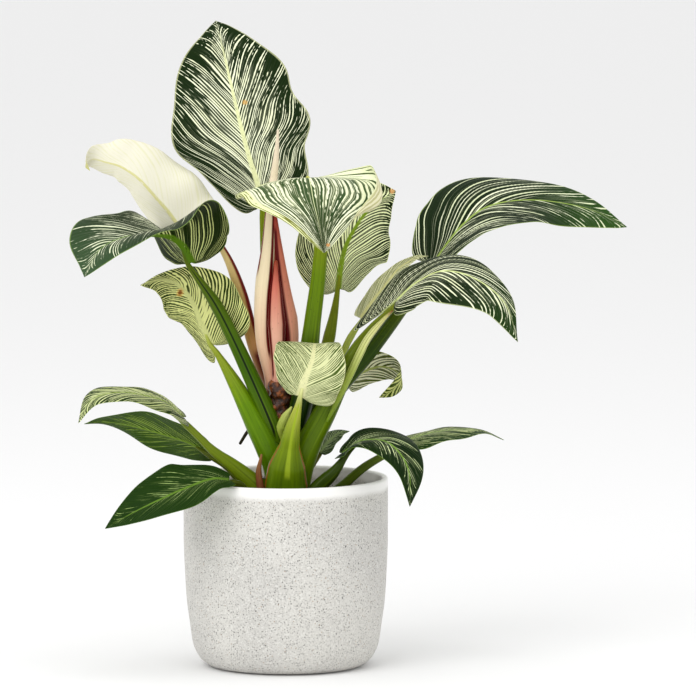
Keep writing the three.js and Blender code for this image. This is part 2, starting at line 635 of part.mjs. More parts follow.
// The stalk runs on under the midrib for a short way and thins out there.
function stalkRoute(leaf, midrib) {
  const junction = midribFrame(leaf, midrib, 0);
  const beyond = midribFrame(leaf, midrib, STALK_END_PLACE);
  const under = junction.point.clone().addScaledVector(junction.face, -STALK_UNDER);
  const end = beyond.point.clone().addScaledVector(beyond.face, -STALK_UNDER_END);
  return {
    route: [...leaf.stalk, under.toArray(), end.toArray()],
    radii: [...leaf.radii, ...STALK_END_RADII],
  };
}

function revolve(profile, sides) {
  const points = profile.map(([x, y]) => new THREE.Vector2(x, y));
  const geometry = new THREE.LatheGeometry(points, sides);
  geometry.deleteAttribute('normal');
  geometry.deleteAttribute('uv');
  geometry.rotateX(Math.PI / 2);
  const loose = geometry.toNonIndexed().getAttribute('position');
  const triangles = [];
  for (let corner = 0; corner < loose.count; corner += 3) {
    triangles.push([0, 1, 2].map((step) => new THREE.Vector3().fromBufferAttribute(loose, corner + step)));
  }
  return toSolid(closedGeometry(triangles));
}

// Outside of the pot from its flat base to the rim, then down the inside to the floor.
const OUTSIDE = [
  [50, 0], [56.5, 1.2], [61.5, 4.5], [65.5, 10], [68.5, 18],
  [70.8, 34], [72.7, 48], [74, 68], [POT_RADIUS, 95],
];

function potProfile() {
  const inside = OUTSIDE.filter(([, height]) => height > POT_FLOOR + POT_WALL)
    .map(([radius, height]) => [radius - POT_WALL, height]);
  const rim = [
    [POT_RADIUS, POT_HEIGHT - RIM_ROUND],
    [POT_RADIUS - RIM_ROUND, POT_HEIGHT],
    [POT_RADIUS - POT_WALL + RIM_ROUND, POT_HEIGHT],
    [POT_RADIUS - POT_WALL, POT_HEIGHT - RIM_ROUND],
  ];
  return [[0, 0], ...OUTSIDE, ...rim, ...inside.reverse(), [POT_FLOOR_RADIUS, POT_FLOOR], [0, POT_FLOOR]];
}

function soilProfile() {
  const wall = OUTSIDE.filter(([, height]) => height > POT_FLOOR + POT_WALL)
    .map(([radius, height]) => [radius - POT_WALL - GAP, height]);
  const [shoulderRadius, shoulderRise] = SOIL_SHOULDER;
  return [
    [0, POT_FLOOR + GAP],
    [POT_FLOOR_RADIUS - GAP, POT_FLOOR + GAP],
    ...wall,
    [POT_RADIUS - POT_WALL - GAP, SOIL_TOP],
    [shoulderRadius, SOIL_TOP + SOIL_SWELL * shoulderRise],
    [0, SOIL_TOP + SOIL_SWELL],
  ];
}

// The biggest body of a solid: scraps that a cut leaves beside it are dropped.
function biggest(solid) {
  const bodies = solid.decompose();
  return bodies.reduce((best, body) => (body.volume() > best.volume() ? body : best));
}

const group = new THREE.Group();

function addPiece(name, solid, colour, roughness) {
  const mesh = solid.getMesh();
  const geometry = new THREE.BufferGeometry();
  geometry.setAttribute('position', new THREE.BufferAttribute(new Float32Array(mesh.vertProperties), 3));
  geometry.setIndex([...mesh.triVerts]);
  geometry.computeVertexNormals();
  const material = new THREE.MeshStandardMaterial({ color: colour, roughness, metalness: 0 });
  const piece = new THREE.Mesh(geometry, material);
  piece.name = name;
  group.add(piece);
}

// Pieces are cut in turn: each keeps GAP to the stem and to the stalks and rods set before it.
let taken = rodSolid(STEM.route, STEM.radii, GAP, STEM_SIDES, STALK_STEPS);
addPiece('stem', rodSolid(STEM.route, STEM.radii, 0, STEM_SIDES, STALK_STEPS), COLOUR.stem, 0.5);

Object.entries(LEAVES).forEach(([name, leaf]) => {
  const midrib = curve(leaf.midrib);
  const { route, radii } = stalkRoute(leaf, midrib);
  const stalk = rodSolid(route, radii, 0, STALK_SIDES, STALK_STEPS);
  const whole = bladeSolid(leaf, midrib).add(stalk);
  addPiece(name, biggest(whole.subtract(taken)), leaf.colour, 0.45);
  taken = taken.add(rodSolid(route, radii, GAP, STALK_SIDES, STALK_STEPS));
});

Object.entries(RODS).forEach(([name, rod]) => {
  const solid = rodSolid(rod.route, rod.radii, 0, STALK_SIDES, STALK_STEPS);
  addPiece(name, biggest(solid.subtract(taken)), rod.colour, 0.5);
  taken = taken.add(rodSolid(rod.route, rod.radii, GAP, STALK_SIDES, STALK_STEPS));
});

addPiece('soil', biggest(revolve(soilProfile(), POT_SIDES).subtract(taken)), COLOUR.soil, 0.95);
addPiece('pot', revolve(potProfile(), POT_SIDES), COLOUR.pot, 0.5);

export default group;
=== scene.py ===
# %% [markdown]
# # A philodendron birkin in its pot
# A small foliage plant stands in a round speckled pot. Its broad leaves are dark green with cream
# stripes that follow the side veins, and a rolled new leaf stands among them. We dress a plain
# measured model of it: every leaf is made again with more rows of points, and gets its colours.

import mathutils

import bpy
import numpy as np
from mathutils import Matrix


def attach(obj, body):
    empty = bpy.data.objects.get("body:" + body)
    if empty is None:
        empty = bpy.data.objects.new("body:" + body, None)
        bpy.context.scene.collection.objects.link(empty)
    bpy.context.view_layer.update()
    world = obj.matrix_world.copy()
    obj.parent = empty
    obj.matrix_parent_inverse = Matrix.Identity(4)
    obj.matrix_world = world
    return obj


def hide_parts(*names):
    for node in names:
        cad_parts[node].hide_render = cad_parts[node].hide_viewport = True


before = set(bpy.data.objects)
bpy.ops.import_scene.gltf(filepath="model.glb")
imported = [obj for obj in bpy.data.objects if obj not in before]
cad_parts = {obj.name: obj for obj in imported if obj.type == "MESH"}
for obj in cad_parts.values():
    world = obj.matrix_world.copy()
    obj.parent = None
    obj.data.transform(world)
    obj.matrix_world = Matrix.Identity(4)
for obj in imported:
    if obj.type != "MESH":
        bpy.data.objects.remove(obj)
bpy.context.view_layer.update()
MM = 0.001
print("plain model loaded:", len(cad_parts), "nodes")

# %% [markdown]
# ## Camera
# The plant is seen from a little above, from far away through a long lens, so that near and far
# leaves keep their true sizes. A far camera gives the calm look of a catalogue picture.

# %% Make the camera
CAMERA_PLACE = (0.0457, -6.0, 0.866)
CAMERA_TILT = 83.99     # degrees up from looking straight down
LENS = 425.9
SENSOR_WIDTH = 36
SIGHT_END = 100         # metres, past which nothing is drawn
eye = bpy.data.cameras.new("eye")
eye.lens = LENS
eye.sensor_width = SENSOR_WIDTH
eye.clip_end = SIGHT_END
camera = bpy.data.objects.new("camera", eye)
camera.location = CAMERA_PLACE
camera.rotation_euler = (np.radians(CAMERA_TILT), 0, 0)
bpy.context.scene.collection.objects.link(camera)
bpy.context.scene.camera = camera
print("camera at", CAMERA_PLACE)

# %% [markdown]
# ## Floor and light
# A pale floor and a bright even sky act as the studio's paper. One broad lamp from the upper left
# and one weaker one from above give soft shadows, as from big cloth screens. Small lamps would
# make hard shadows under every leaf.

# %% Make the floor and the lamps
PAPER = (0.9, 0.9, 0.9)
PAPER_ROUGHNESS = 0.9
FLOOR_SIZE = 30
SKY_STRENGTH = 0.94
LAMP_AIM = (0, 0, 0.25)
# each lamp's place, size and power
LAMPS = {"key_lamp": ((-1.2, -2.0, 1.8), 2.0, 29), "top_lamp": ((0.3, -0.4, 2.2), 1.4, 7)}


def plain_material(name, colour, roughness):
    """One colour with one roughness, for things that aren't part of the plant."""
    material = bpy.data.materials.new(name)
    material.use_nodes = True
    shader = material.node_tree.nodes["Principled BSDF"]
    shader.inputs["Base Color"].default_value = (*colour, 1)
    shader.inputs["Roughness"].default_value = roughness
    return material


corner = FLOOR_SIZE / 2
floor_mesh = bpy.data.meshes.new("floor")
floor_mesh.from_pydata(
    [(-corner, -corner, 0), (corner, -corner, 0), (corner, corner, 0), (-corner, corner, 0)],
    [],
    [(0, 1, 2, 3)],
)
floor_mesh.materials.append(plain_material("floor_paper", PAPER, PAPER_ROUGHNESS))
floor = bpy.data.objects.new("floor", floor_mesh)
bpy.context.scene.collection.objects.link(floor)

world = bpy.data.worlds.new("studio")
world.use_nodes = True
sky = world.node_tree.nodes["Background"]
sky.inputs["Color"].default_value = (1, 1, 1, 1)
sky.inputs["Strength"].default_value = SKY_STRENGTH
bpy.context.scene.world = world


def lamp(name, place, size, power):
    """A square area lamp at a place, turned towards the middle of the plant."""
    light = bpy.data.lights.new(name, "AREA")
    light.size = size
    light.energy = power
    holder = bpy.data.objects.new(name, light)
    holder.location = place
    direction = mathutils.Vector(LAMP_AIM) - mathutils.Vector(place)
    holder.rotation_euler = direction.to_track_quat("-Z", "Y").to_euler()
    bpy.context.scene.collection.objects.link(holder)


for name, (place, size, power) in LAMPS.items():
    lamp(name, place, size, power)
bpy.context.scene.view_settings.view_transform = "Standard"
print("floor, sky and", len(LAMPS), "lamps made")

# %% [markdown]
# ## Smooth curves
# Midribs and stalks are given by a few points. A Catmull-Rom curve passes through all of them and
# has no corners. Here it is a numpy function, so that a thousand points cost one call.

# %% Curves as arrays
CURVE_STEPS = 200
TINY = 1e-12            # keeps a vector without length from being divided by zero


def unit(vectors):
    """Each vector divided by its length."""
    return vectors / np.maximum(np.linalg.norm(vectors, axis=-1, keepdims=True), TINY)


def spline(points, places):
    """The Catmull-Rom curve through the points; places 0 to 1 give each span an equal share."""
    p = np.asarray(points, float)
    p = np.vstack([2 * p[0] - p[1], p, 2 * p[-1] - p[-2]])
    t = np.clip(places, 0, 1) * (len(p) - 3)
    i = np.minimum(t.astype(int), len(p) - 4)
    f = (t - i)[..., None]
    a, b, c, d = p[i], p[i + 1], p[i + 2], p[i + 3]
    return b + 0.5 * f * (c - a + f * (2 * a - 5 * b + 4 * c - d + f * (3 * (b - c) + d - a)))


def curve_length(points):
    """Length of the curve, as a sum of short chords."""
    chords = np.diff(spline(points, np.linspace(0, 1, CURVE_STEPS + 1)), axis=0)
    return np.linalg.norm(chords, axis=1).sum()


def at_length(points, places):
    """The same curve with places counted evenly along its length."""
    t = np.linspace(0, 1, CURVE_STEPS + 1)
    chords = np.linalg.norm(np.diff(spline(points, t), axis=0), axis=1)
    run = np.concatenate([[0], np.cumsum(chords)])
    return spline(points, np.interp(np.clip(places, 0, 1) * run[-1], run, t))


def along(values, places):
    """Smooth steps from value to value, evenly spaced along 0 to 1."""
    v = np.asarray(values, float)
    t = np.clip(places, 0, 1) * (len(v) - 1)
    i = np.minimum(t.astype(int), len(v) - 2)
    f = t - i
    f = f * f * (3 - 2 * f)
    if v.ndim == 2:
        f = f[..., None]
    return v[i] * (1 - f) + v[i + 1] * f


def between(values, places):
    """Straight steps from value to value, evenly spaced along 0 to 1."""
    return np.interp(places, np.linspace(0, 1, len(values)), values)


print("curve length of a test line:", round(curve_length([(0, 0, 0), (0, 0, 10)]), 3))

# %% [markdown]
# ## The leaves' measurements
# In millimetres: where each stalk and midrib runs, which way the upper face looks, and the form of
# the two halves. Width is across one half. Lobe is how far it reaches back behind the stalk. Full
# widens it towards the tip and taper narrows its base. Fold, curl and roll are angles from base to
# tip, in degrees: how steeply a half leaves the midrib, how far it bends on the way out, and how
# far its margin turns over. Wave gives the margin's waves: height, number, phase and sway.

# %% Leaf table
def half(width, lobe, full, taper, fold, curl, wave, roll=(0, 0)):
    """One half of a blade, by the measurements that the text above names."""
    return dict(width=width, lobe=lobe, full=full, taper=taper, fold=fold, curl=curl, wave=wave,
        roll=roll)


LEAVES = {
    "leaf_small_front": dict(
        stalk=[(0.5, -17, 105), (0.5, -20, 124.5), (0.5, -24, 141.5), (2, -30, 158), (5, -38, 178),
            (9.5, -43, 196.5)],
        midrib=[(11.5, -46, 205.5), (13.5, -49, 214), (16.5, -49, 222), (19.5, -47, 230),
            (21, -42, 237.5), (21.5, -33, 240.5), (22, -24, 238.5)],
        face=[(0.1, 1, 0.1), (0, 1, 0), (0, 1, -0.1), (0, 0.6, -0.8), (0, 0, -1)],
        radii=[12, 15, 15.8, 13.5, 7.6, 5.4],
        left=half(27, 5, 0.7, 0, [-5, -20, -15, 0], [10, 10, 10], [1, 2, 0.2, 1]),
        right=half(30, 2, 0.9, 1.9, [-5, -20, -15, 0], [10, 10, 10], [1, 2.2, 0.6, 1])),
    "leaf_drooping_right": dict(
        stalk=[(7.5, -10, 105.5), (9, -13, 134), (15, -18, 161), (29.5, -22, 190.5),
            (48.5, -20, 229), (64.5, -14, 251)],
        midrib=[(81.5, -22, 272), (95.5, -28, 285), (115, -38, 294.5), (138, -50, 290),
            (159, -58, 273), (169, -62, 245)],
        face=[(-0.2, -0.5, 1), (0, -0.5, 1), (0.6, -0.5, 0.6)],
        radii=[8, 9, 9.5, 8.4, 7, 5],
        left=half(29, 44, -0.1, 0.9, [10, 0, 0], [0, -20, -10], [1.5, 2.1, 0.3, 0.6]),
        right=half(36, 5, 0.6, 1.6, [-10, 0, 0], [0, -20, -10], [1.5, 2.2, 0.7, 0.6])),
    "leaf_saddle_left": dict(
        stalk=[(-6.5, -4, 160), (-8, -7, 172), (-15, -10, 191), (-33.5, -14, 233),
            (-49.5, -15, 265.5), (-61.5, -14, 283.5)],
        midrib=[(-69.5, -12, 298.5), (-76, -15, 311), (-85.5, -24, 319), (-99.5, -38, 321.5),
            (-118, -54, 320), (-134, -66, 312.5), (-145, -74, 293.5)],
        face=[(0.8, 0.5, 0.4), (0.2, -0.1, 1), (-0.3, -0.6, 1), (-0.8, -0.7, 0.4)],
        radii=[6, 7, 6.2, 5.6, 5, 4.6],
        left=half(42, 6, 0.6, 0.2, [80, 30, 0], [25, -20, -10], [1.5, 2, 0.1, 0.6]),
        right=half(44, 2, 0.9, 0.9, [2, 18, 0], [0, -20, -10], [2.4, 1.6, -0.2, 8])),
    "leaf_pale_left": dict(
        stalk=[(-7, -5, 139.5), (-10, -8, 154), (-21.5, -9, 179.5), (-35, -8, 205.5),
            (-49, -5, 229)],
        midrib=[(-54.5, -2, 238), (-60.5, -1, 250.5), (-65.5, 2, 263), (-71.5, 7, 272.5),
            (-80.5, 14, 280), (-93, 19, 282), (-107, 21, 278.5)],
        face=[(0.4, 1, 0.3), (0.4, 1, 0.2), (0.3, 0.9, -0.4), (0.3, 0.7, -0.8), (0.3, 0.7, -0.8)],
        radii=[8, 9, 8.5, 7, 5],
        left=half(36, 6, -0.3, 0, [10, 0, 0], [10, 20, 10], [1.2, 2, 0.2, 0.6]),
        right=half(21, 14, 0.9, 0.8, [20, 5, 0], [10, 20, 10], [0.7, 1.3, 0.35, 2.5])),
    "leaf_arched_left": dict(
        stalk=[(-5, -10, 104), (-8.5, -14, 118), (-20, -18, 133), (-37.5, -20, 149),
            (-53.5, -21, 161.5), (-64.5, -22, 172.5)],
        midrib=[(-76.5, -22, 187.5), (-87, -27, 197), (-101, -34, 202.5), (-120.5, -42, 206),
            (-140.5, -48, 201.5), (-150.5, -50, 184.5)],
        face=[(0.3, -0.35, 1), (0, -0.35, 1), (-0.7, -0.3, 0.6)],
        radii=[8, 8.4, 8, 6, 4, 2.8],
        left=half(22, 6, 0.5, 0.4, [10, 10, 0], [-20, -20, -10], [1.2, 2, 0.2, 0.6]),
        right=half(22, 7, 0.8, 0.4, [0, 0, 0], [-20, -20, -10], [1.2, 2.2, 0.6, 0.6])),
    "leaf_front_arched": dict(
        stalk=[(3, 0, 166.5), (10, -6, 188), (15, -11, 215.5), (20, -13, 256.5), (24.5, -14, 293),
            (25.5, -14, 326)],
        midrib=[(16.5, -10, 360), (17.5, -30, 361), (19, -52, 357), (21, -75, 347.5),
            (25, -95, 332.5), (28.5, -106, 314)],
        face=[(-0.2, -0.2, 1), (-0.15, -0.3, 1), (0, -0.8, 0.8)],
        radii=[8, 8.5, 7.5, 6.2, 5.6, 5],
        left=half(67, 9, 0.3, 0.2, [-10, -18, 0], [-18, -30, 0], [1, 2.3, 0.2, 1.5],
            [130, 155, 150]),
        right=half(54, 12, 0.1, 0, [12, 8, 10], [-30, -15, 0], [2, 2.5, 0.6, 1.5])),
    "leaf_long_right": dict(
        stalk=[(0, 4, 158), (9, 7, 168), (19, 11, 180.5), (37.5, 19, 202.5), (62, 28, 229),
            (87.5, 36, 262.5), (100, 39, 280.5)],
        midrib=[(111.5, 42, 296.5), (120, 46, 308), (130.5, 52, 320), (146, 59, 331.5),
            (167, 66, 336.5), (193.5, 71, 336), (225, 73, 329.5), (252.5, 74, 316.5)],
        face=[(-0.2, -0.5, 1), (0, -0.6, 1), (0.2, -0.6, 1)],
        radii=[7.5, 8, 7.4, 6.4, 5.4, 5, 4.4],
        left=half(48, 8, 0, 1.5, [15, 0, 0], [0, -25, -20], [2, 2.2, 0.4, 0.6]),
        right=half(42, 4, 0.8, 1, [25, 10, 0], [0, 0, 0], [1.6, 2.4, 0.1, 0.6])),
    "leaf_behind_right": dict(
        stalk=[(0, 6, 165), (10, 11, 172), (19, 16, 184), (26.5, 24, 215.5), (34.5, 29, 252)],
        midrib=[(38.5, 31, 275.5), (40.5, 33, 291), (44, 36, 305.5), (51, 40, 319),
            (59.5, 44, 330.5), (70, 48, 339), (81, 52, 345.5)],
        face=[(0.1, 1, 0.1), (0.1, 1, 0.1), (0.1, 1, 0.3)],
        radii=[5, 5, 5, 5, 4.5],
        left=half(34, 1, 0.75, 2, [10, 10, 10], [10, 10, 0], [1.2, 1.5, 0.2, 0]),
        right=half(39, 6, 0.7, 1.1, [10, 10, 10], [10, 10, 0], [2, 2.1, 0.6, 1])),
    "leaf_new_cream": dict(
        stalk=[(-9, 1, 197), (-11, 3, 209), (-17.5, 5, 223.5), (-26, 9, 247), (-33.5, 12, 275.5),
            (-43.5, 15, 300.5), (-54, 16, 313.5)],
        midrib=[(-68, 18, 312), (-78.5, 20, 322.5), (-86.5, 22, 333), (-94.5, 24, 342),
            (-108, 27, 356.5), (-121, 31, 365), (-132, 34, 368), (-141.5, 33, 370.5),
            (-146.5, 25, 368), (-143.5, 18, 363)],
        face=[(-0.1, 1, 0.1), (-0.2, 1, 0.3), (-0.2, 1, 0.3), (-0.3, 1, 0.3), (-1, -0.3, 0.1)],
        radii=[5, 6, 6, 5, 4.6, 3.8, 2.6],
        left=half(37, 8, 0, 0.6, [10, 10, 10], [20, 30, 60, 50, 0], [1, 1.6, 0.2, 0.6]),
        right=half(23, 8, 0.1, 0, [20, 20, 15, 10, 0], [30, 40, 60, 40, 0], [1, 1.6, 0.4, 0.6])),
    "leaf_top": dict(
        stalk=[(-11, 3, 196), (-13.5, 9, 208), (-14.5, 13, 224.5), (-16, 22, 267.5),
            (-16.5, 29, 304)],
        midrib=[(-17.5, 27, 341), (-22.5, 29, 358.5), (-27.5, 32, 374), (-33.5, 38, 396),
            (-39.5, 46, 420.5), (-45.5, 56, 445.5), (-52, 69, 470)],
        face=[(-0.1, -1, 0.2), (0, -1, 0.25), (0, -1, 0.35)],
        radii=[4, 4.5, 3.2, 2.6, 2.4],
        left=half(51, 6, 0.8, 1.9, [8, 6, 4], [-10, -15, 10], [3, 2.6, 0.95, 1.5]),
        right=half(49, 8, 0.75, 1.1, [8, 6, 4], [-10, -12, 10], [3, 3, 0.95, 3])),
    "leaf_narrow_right": dict(
        stalk=[(6, 4, 158), (20, 9, 180), (34, 15, 210), (46, 18, 237.5)],
        midrib=[(55.5, 19, 254.5), (62.5, 19, 265), (70, 20, 274.5), (76.5, 21, 283),
            (83, 22, 290.5), (90, 22, 295.5), (97, 22, 299), (105, 22, 300)],
        face=[(-0.6, -1, 0.3), (-0.4, -1, 0.4), (0, -1, 0.6)],
        radii=[4, 3.6, 3, 2.4],
        left=half(8, 1, 0, 0.3, [20, 20, 10], [0, 0, 0], [0, 2, 0.2, 0.6]),
        right=half(8, 1, 0, 0.3, [20, 20, 10], [0, 0, 0], [0, 2.2, 0.6, 0.6])),
    "leaf_small_right": dict(
        stalk=[(2, 9, 150), (12, 20, 163.5), (28, 33, 187), (41, 42, 203.5)],
        midrib=[(47, 44, 206), (57.5, 45, 213), (70, 44, 216.5), (81, 40, 214), (85, 34, 208),
            (79, 28, 201), (68.5, 24, 195)],
        face=[(-0.1, 0.7, 0.7), (0.2, 0.7, 0.8), (0.9, 0.2, 0.3), (0.6, -0.7, -0.5)],
        radii=[4, 4, 3.6, 3],
        left=half(17, 4, 0.5, 0, [0, 0, 0], [0, 0, 0], [0.8, 2, 0.2, 0.6]),
        right=half(19, 3, 0.3, -0.6, [0, 0, 0], [0, 0, 0], [0.8, 2.2, 0.6, 0.6])),
    "leaf_small_back": dict(
        stalk=[(4, 18, 107.5), (8, 25, 121.5), (16, 36, 139)],
        midrib=[(25, 44, 152.5), (31, 50, 159), (38.5, 58, 164.5), (47, 65, 165.5)],
        face=[(0, -0.6, 1), (0, -0.6, 1)],
        radii=[3, 3, 2.6],
        left=half(9, 1, 0.3, 0, [0, 0], [0, 0], [0.6, 2, 0.2, 0.6]),
        right=half(7, 1, 0.2, 0, [0, 0], [0, 0], [0.6, 2.2, 0.6, 0.6])),
    "leaf_lower_right": dict(
        stalk=[(8, -17, 102), (12, -20, 114), (23, -23, 133), (35.5, -26, 146)],
        midrib=[(43.5, -28, 161), (56, -38, 170), (72.5, -54, 171.5), (84, -66, 163),
            (90, -73, 149.5), (90.5, -76, 126.5)],
        face=[(-0.2, -0.6, 1), (0.2, -0.6, 1), (0.7, -0.6, 0.4)],
        radii=[5, 5.4, 6, 5],
        left=half(25, 7, 0.5, 1.6, [10, 0, 0], [-20, -30, -10], [1.2, 2, 0.2, 0.6]),
        right=half(24, 5, 0.1, 1.4, [25, 20, 0], [-20, -30, -10], [1.2, 2.2, 0.6, 0.6])),
    "leaf_far_right": dict(
        stalk=[(14, -9, 103.5), (23.5, -9, 119.5), (41.5, -3, 133), (59.5, 5, 147)],
        midrib=[(85.5, 16, 163), (102.5, 22, 168), (124.5, 30, 170.5), (144.5, 37, 169),
            (161, 42, 161.5)],
        face=[(0, -0.06, 1), (0, -0.06, 1)],
        radii=[3.6, 3.6, 3.6, 3.2],
        left=half(25, 4, 0.2, 0.6, [0, 0], [-20, -10], [1.2, 2, 0.2, 0.6]),
        right=half(25, 4, 0.2, 0.6, [0, 0], [-20, -10], [1.2, 2.2, 0.6, 0.6])),
    "leaf_dark_left": dict(
        stalk=[(-10, -2, 104), (-17.5, 1, 117.5), (-30.5, 7, 131.5), (-41.5, 13, 144.5)],
        midrib=[(-56.5, 17, 155.5), (-72, 22, 162.5), (-93, 29, 168.5), (-115, 36, 173.5),
            (-135, 42, 175.5), (-149.5, 46, 173)],
        face=[(0, 0.7, 0.8), (0, 0.7, 0.8), (0, 0.5, 1)],
        radii=[4, 4, 4, 3.6],
        left=half(30, 2, 0, 1.6, [0, 0], [-10, -10], [1.2, 2, 0.2, 0.6]),
        right=half(26, 2, 0, 1.6, [0, 0], [-10, -10], [1.2, 2.2, 0.6, 0.6])),
    "leaf_over_rim": dict(
        stalk=[(-22, -36, 106), (-26, -44, 122), (-31, -51, 138)],
        midrib=[(-41.5, -62, 144.5), (-53.5, -68, 145.5), (-71.5, -75, 140), (-90.5, -79, 132),
            (-111, -80, 122), (-130.5, -80, 111)],
        face=[(-0.1, -0.75, 0.65), (-0.1, -0.75, 0.65)],
        radii=[3, 3, 3],
        left=half(24, 2, 0.3, 1.7, [30, 20], [-20, -10], [0.8, 2, 0.2, 0.6]),
        right=half(30, 2, 0.3, 2.2, [0, 0], [-20, -10], [1, 2.2, 0.6, 0.6])),
}
print(len(LEAVES), "leaves listed")

# %% [markdown]
# ## A leaf blade
# A birkin's side veins leave the midrib at a slant and bend towards the tip, and every stripe
# follows them. So the rows of our grid are side veins: one number runs along the rows, the other
# from the midrib to the margin. Stripes are then simply a pattern of the first number.

# %% Blade surface as a function of two parameters
OUTLINE_X = np.array([0, -0.55, -1, -0.55, 0.12, 0.38, 0.62, 0.82, 0.94, 1])
SLIM_Y = np.array([0, 0.1, 0.4, 0.8, 1, 0.93, 0.66, 0.31, 0.1, 0])
FULL_Y = np.array([0, 0.1, 0.42, 0.84, 1, 1, 0.92, 0.64, 0.26, 0])
TAPER_Y = np.array([0, 0.35, 0.35, 0.3, 0.14, 0, 0, 0, 0, 0])
SHOULDER = 4            # the widest point, which a strong taper moves forward
SHOULDER_SHIFT = 0.1
FIRST_ROW_ON_MIDRIB = 0.24  # rows before this all start where the stalk joins
VEIN_LEAD = 1.1         # how far the side veins' feet keep towards the base
VEIN_BEND = (0.36, 0.56)    # a vein's middle point: share of the way along, and across
ROLL_START = 0.72       # share of a vein after which a rolled margin starts
ROLL_CREASE = 8.0       # width of the crease in which it turns over
TANGENT_STEP = 0.01     # of the midrib, each way, to find its direction
STRAIGHT = 1e-6         # a bend this small is treated as none


def outline(half, length, places):
    """A half's margin in the flat blade: a curve through ten points scaled by width and lobe."""
    shift = SHOULDER_SHIFT * max(half["taper"] - 1, 0)
    x = OUTLINE_X.copy()
    x[SHOULDER] += shift
    reach = np.where(x < 0, x * half["lobe"], x * length)
    spread = SLIM_Y + (FULL_Y - SLIM_Y) * half["full"]
    spread = np.maximum(spread * (1 - half["taper"] * TAPER_Y), 0) * half["width"]
    flat = np.stack([reach, spread, 0 * spread], axis=1)
    return spline(flat, places)


def midrib_frame(leaf, places):
    """Point of the midrib, direction to the tip, upper face's direction and right-hand side."""
    inside = np.clip(places, 0, 1)
    ahead = at_length(leaf["midrib"], np.minimum(inside + TANGENT_STEP, 1))
    behind = at_length(leaf["midrib"], np.maximum(inside - TANGENT_STEP, 0))
    tangent = unit(ahead - behind)
    face = along(leaf["face"], inside)
    face = unit(face - (face * tangent).sum(-1, keepdims=True) * tangent)
    return at_length(leaf["midrib"], inside), tangent, face, np.cross(tangent, face)


def arch(slope, turn, reach):
    """A circular arch in cross-section: how far across and up it ends, and its slope there."""
    bend = np.where(np.abs(turn) < STRAIGHT, STRAIGHT, turn)
    end = slope + bend * reach
    return (np.sin(end) - np.sin(slope)) / bend, (np.cos(slope) - np.cos(end)) / bend, end


def blade_half(leaf, half, sign, length, rows, shares):
    """One half of a blade. A side vein is a quadratic curve from the midrib to the margin in the
    flat blade. That flat place is carried onto the midrib and arched sideways: the arch starts at
    the fold angle and turns by the curl over the width, a strip along the margin turns over by
    the roll in a narrow crease, and a sine wave lifts the margin."""
    edge = outline(half, length, rows)
    height, count, phase, sway = half["wave"]
    swing = 2 * np.pi * (count * edge[:, 0] / length + phase)
    edge[:, 1] *= 1 + sway / half["width"] * np.cos(swing)
    start = np.maximum((rows - FIRST_ROW_ON_MIDRIB) / (1 - FIRST_ROW_ON_MIDRIB), 0) ** VEIN_LEAD
    start = start[:, None] * length
    edge_x, edge_y = edge[:, :1], edge[:, 1:2]
    out = shares[None, :]
    middle = 2 * out * (1 - out)
    bend_along, bend_across = VEIN_BEND
    x = (1 - out) ** 2 * start + middle * (start + bend_along * (edge_x - start)) + out**2 * edge_x
    y = (middle * bend_across + out**2) * edge_y
    point, tangent, face, side = midrib_frame(leaf, x / length)
    fold = np.radians(along(half["fold"], x / length))
    curl = np.radians(along(half["curl"], x / length)) / half["width"]
    roll_from = (2 * ROLL_START * (1 - ROLL_START) * bend_across + ROLL_START**2) * edge_y
    beyond = np.maximum(y - roll_from, 0)
    roll = np.radians(along(half["roll"], x / length)) / ROLL_CREASE
    body_across, body_rise, slope = arch(fold, curl, np.minimum(y, roll_from))
    turn_across, turn_rise, slope = arch(slope, curl + roll, np.minimum(beyond, ROLL_CREASE))
    strip_across, strip_rise, _ = arch(slope, curl, np.maximum(beyond - ROLL_CREASE, 0))
    across = body_across + turn_across + strip_across
    lift = height * np.minimum((y / half["width"]) ** 2, 1)
    rise = body_rise + turn_rise + strip_rise
    rise = rise + lift * np.sin(2 * np.pi * (count * x / length + phase))
    behind = np.minimum(x, 0)[..., None] * tangent
    place = point + behind + sign * across[..., None] * side + rise[..., None] * face
    return place, x / length, y


print("blade function ready")

# %% [markdown]
# ## From grid to closed mesh
# A leaf is thin but not flat paper: its two faces meet in a fine round margin, and the midrib
# stands out underneath. We make an upper and a lower grid and let them meet at the margin. At the
# base and the tip many grid points fall on one spot. They are merged there, but each triangle's
# corner keeps its own pattern number, so the stripes fan out of the stalk without smearing.

# %% Merge a set of triangles into a mesh
MERGE_STEPS = 100       # to a millimetre: points that fall on the same step become one


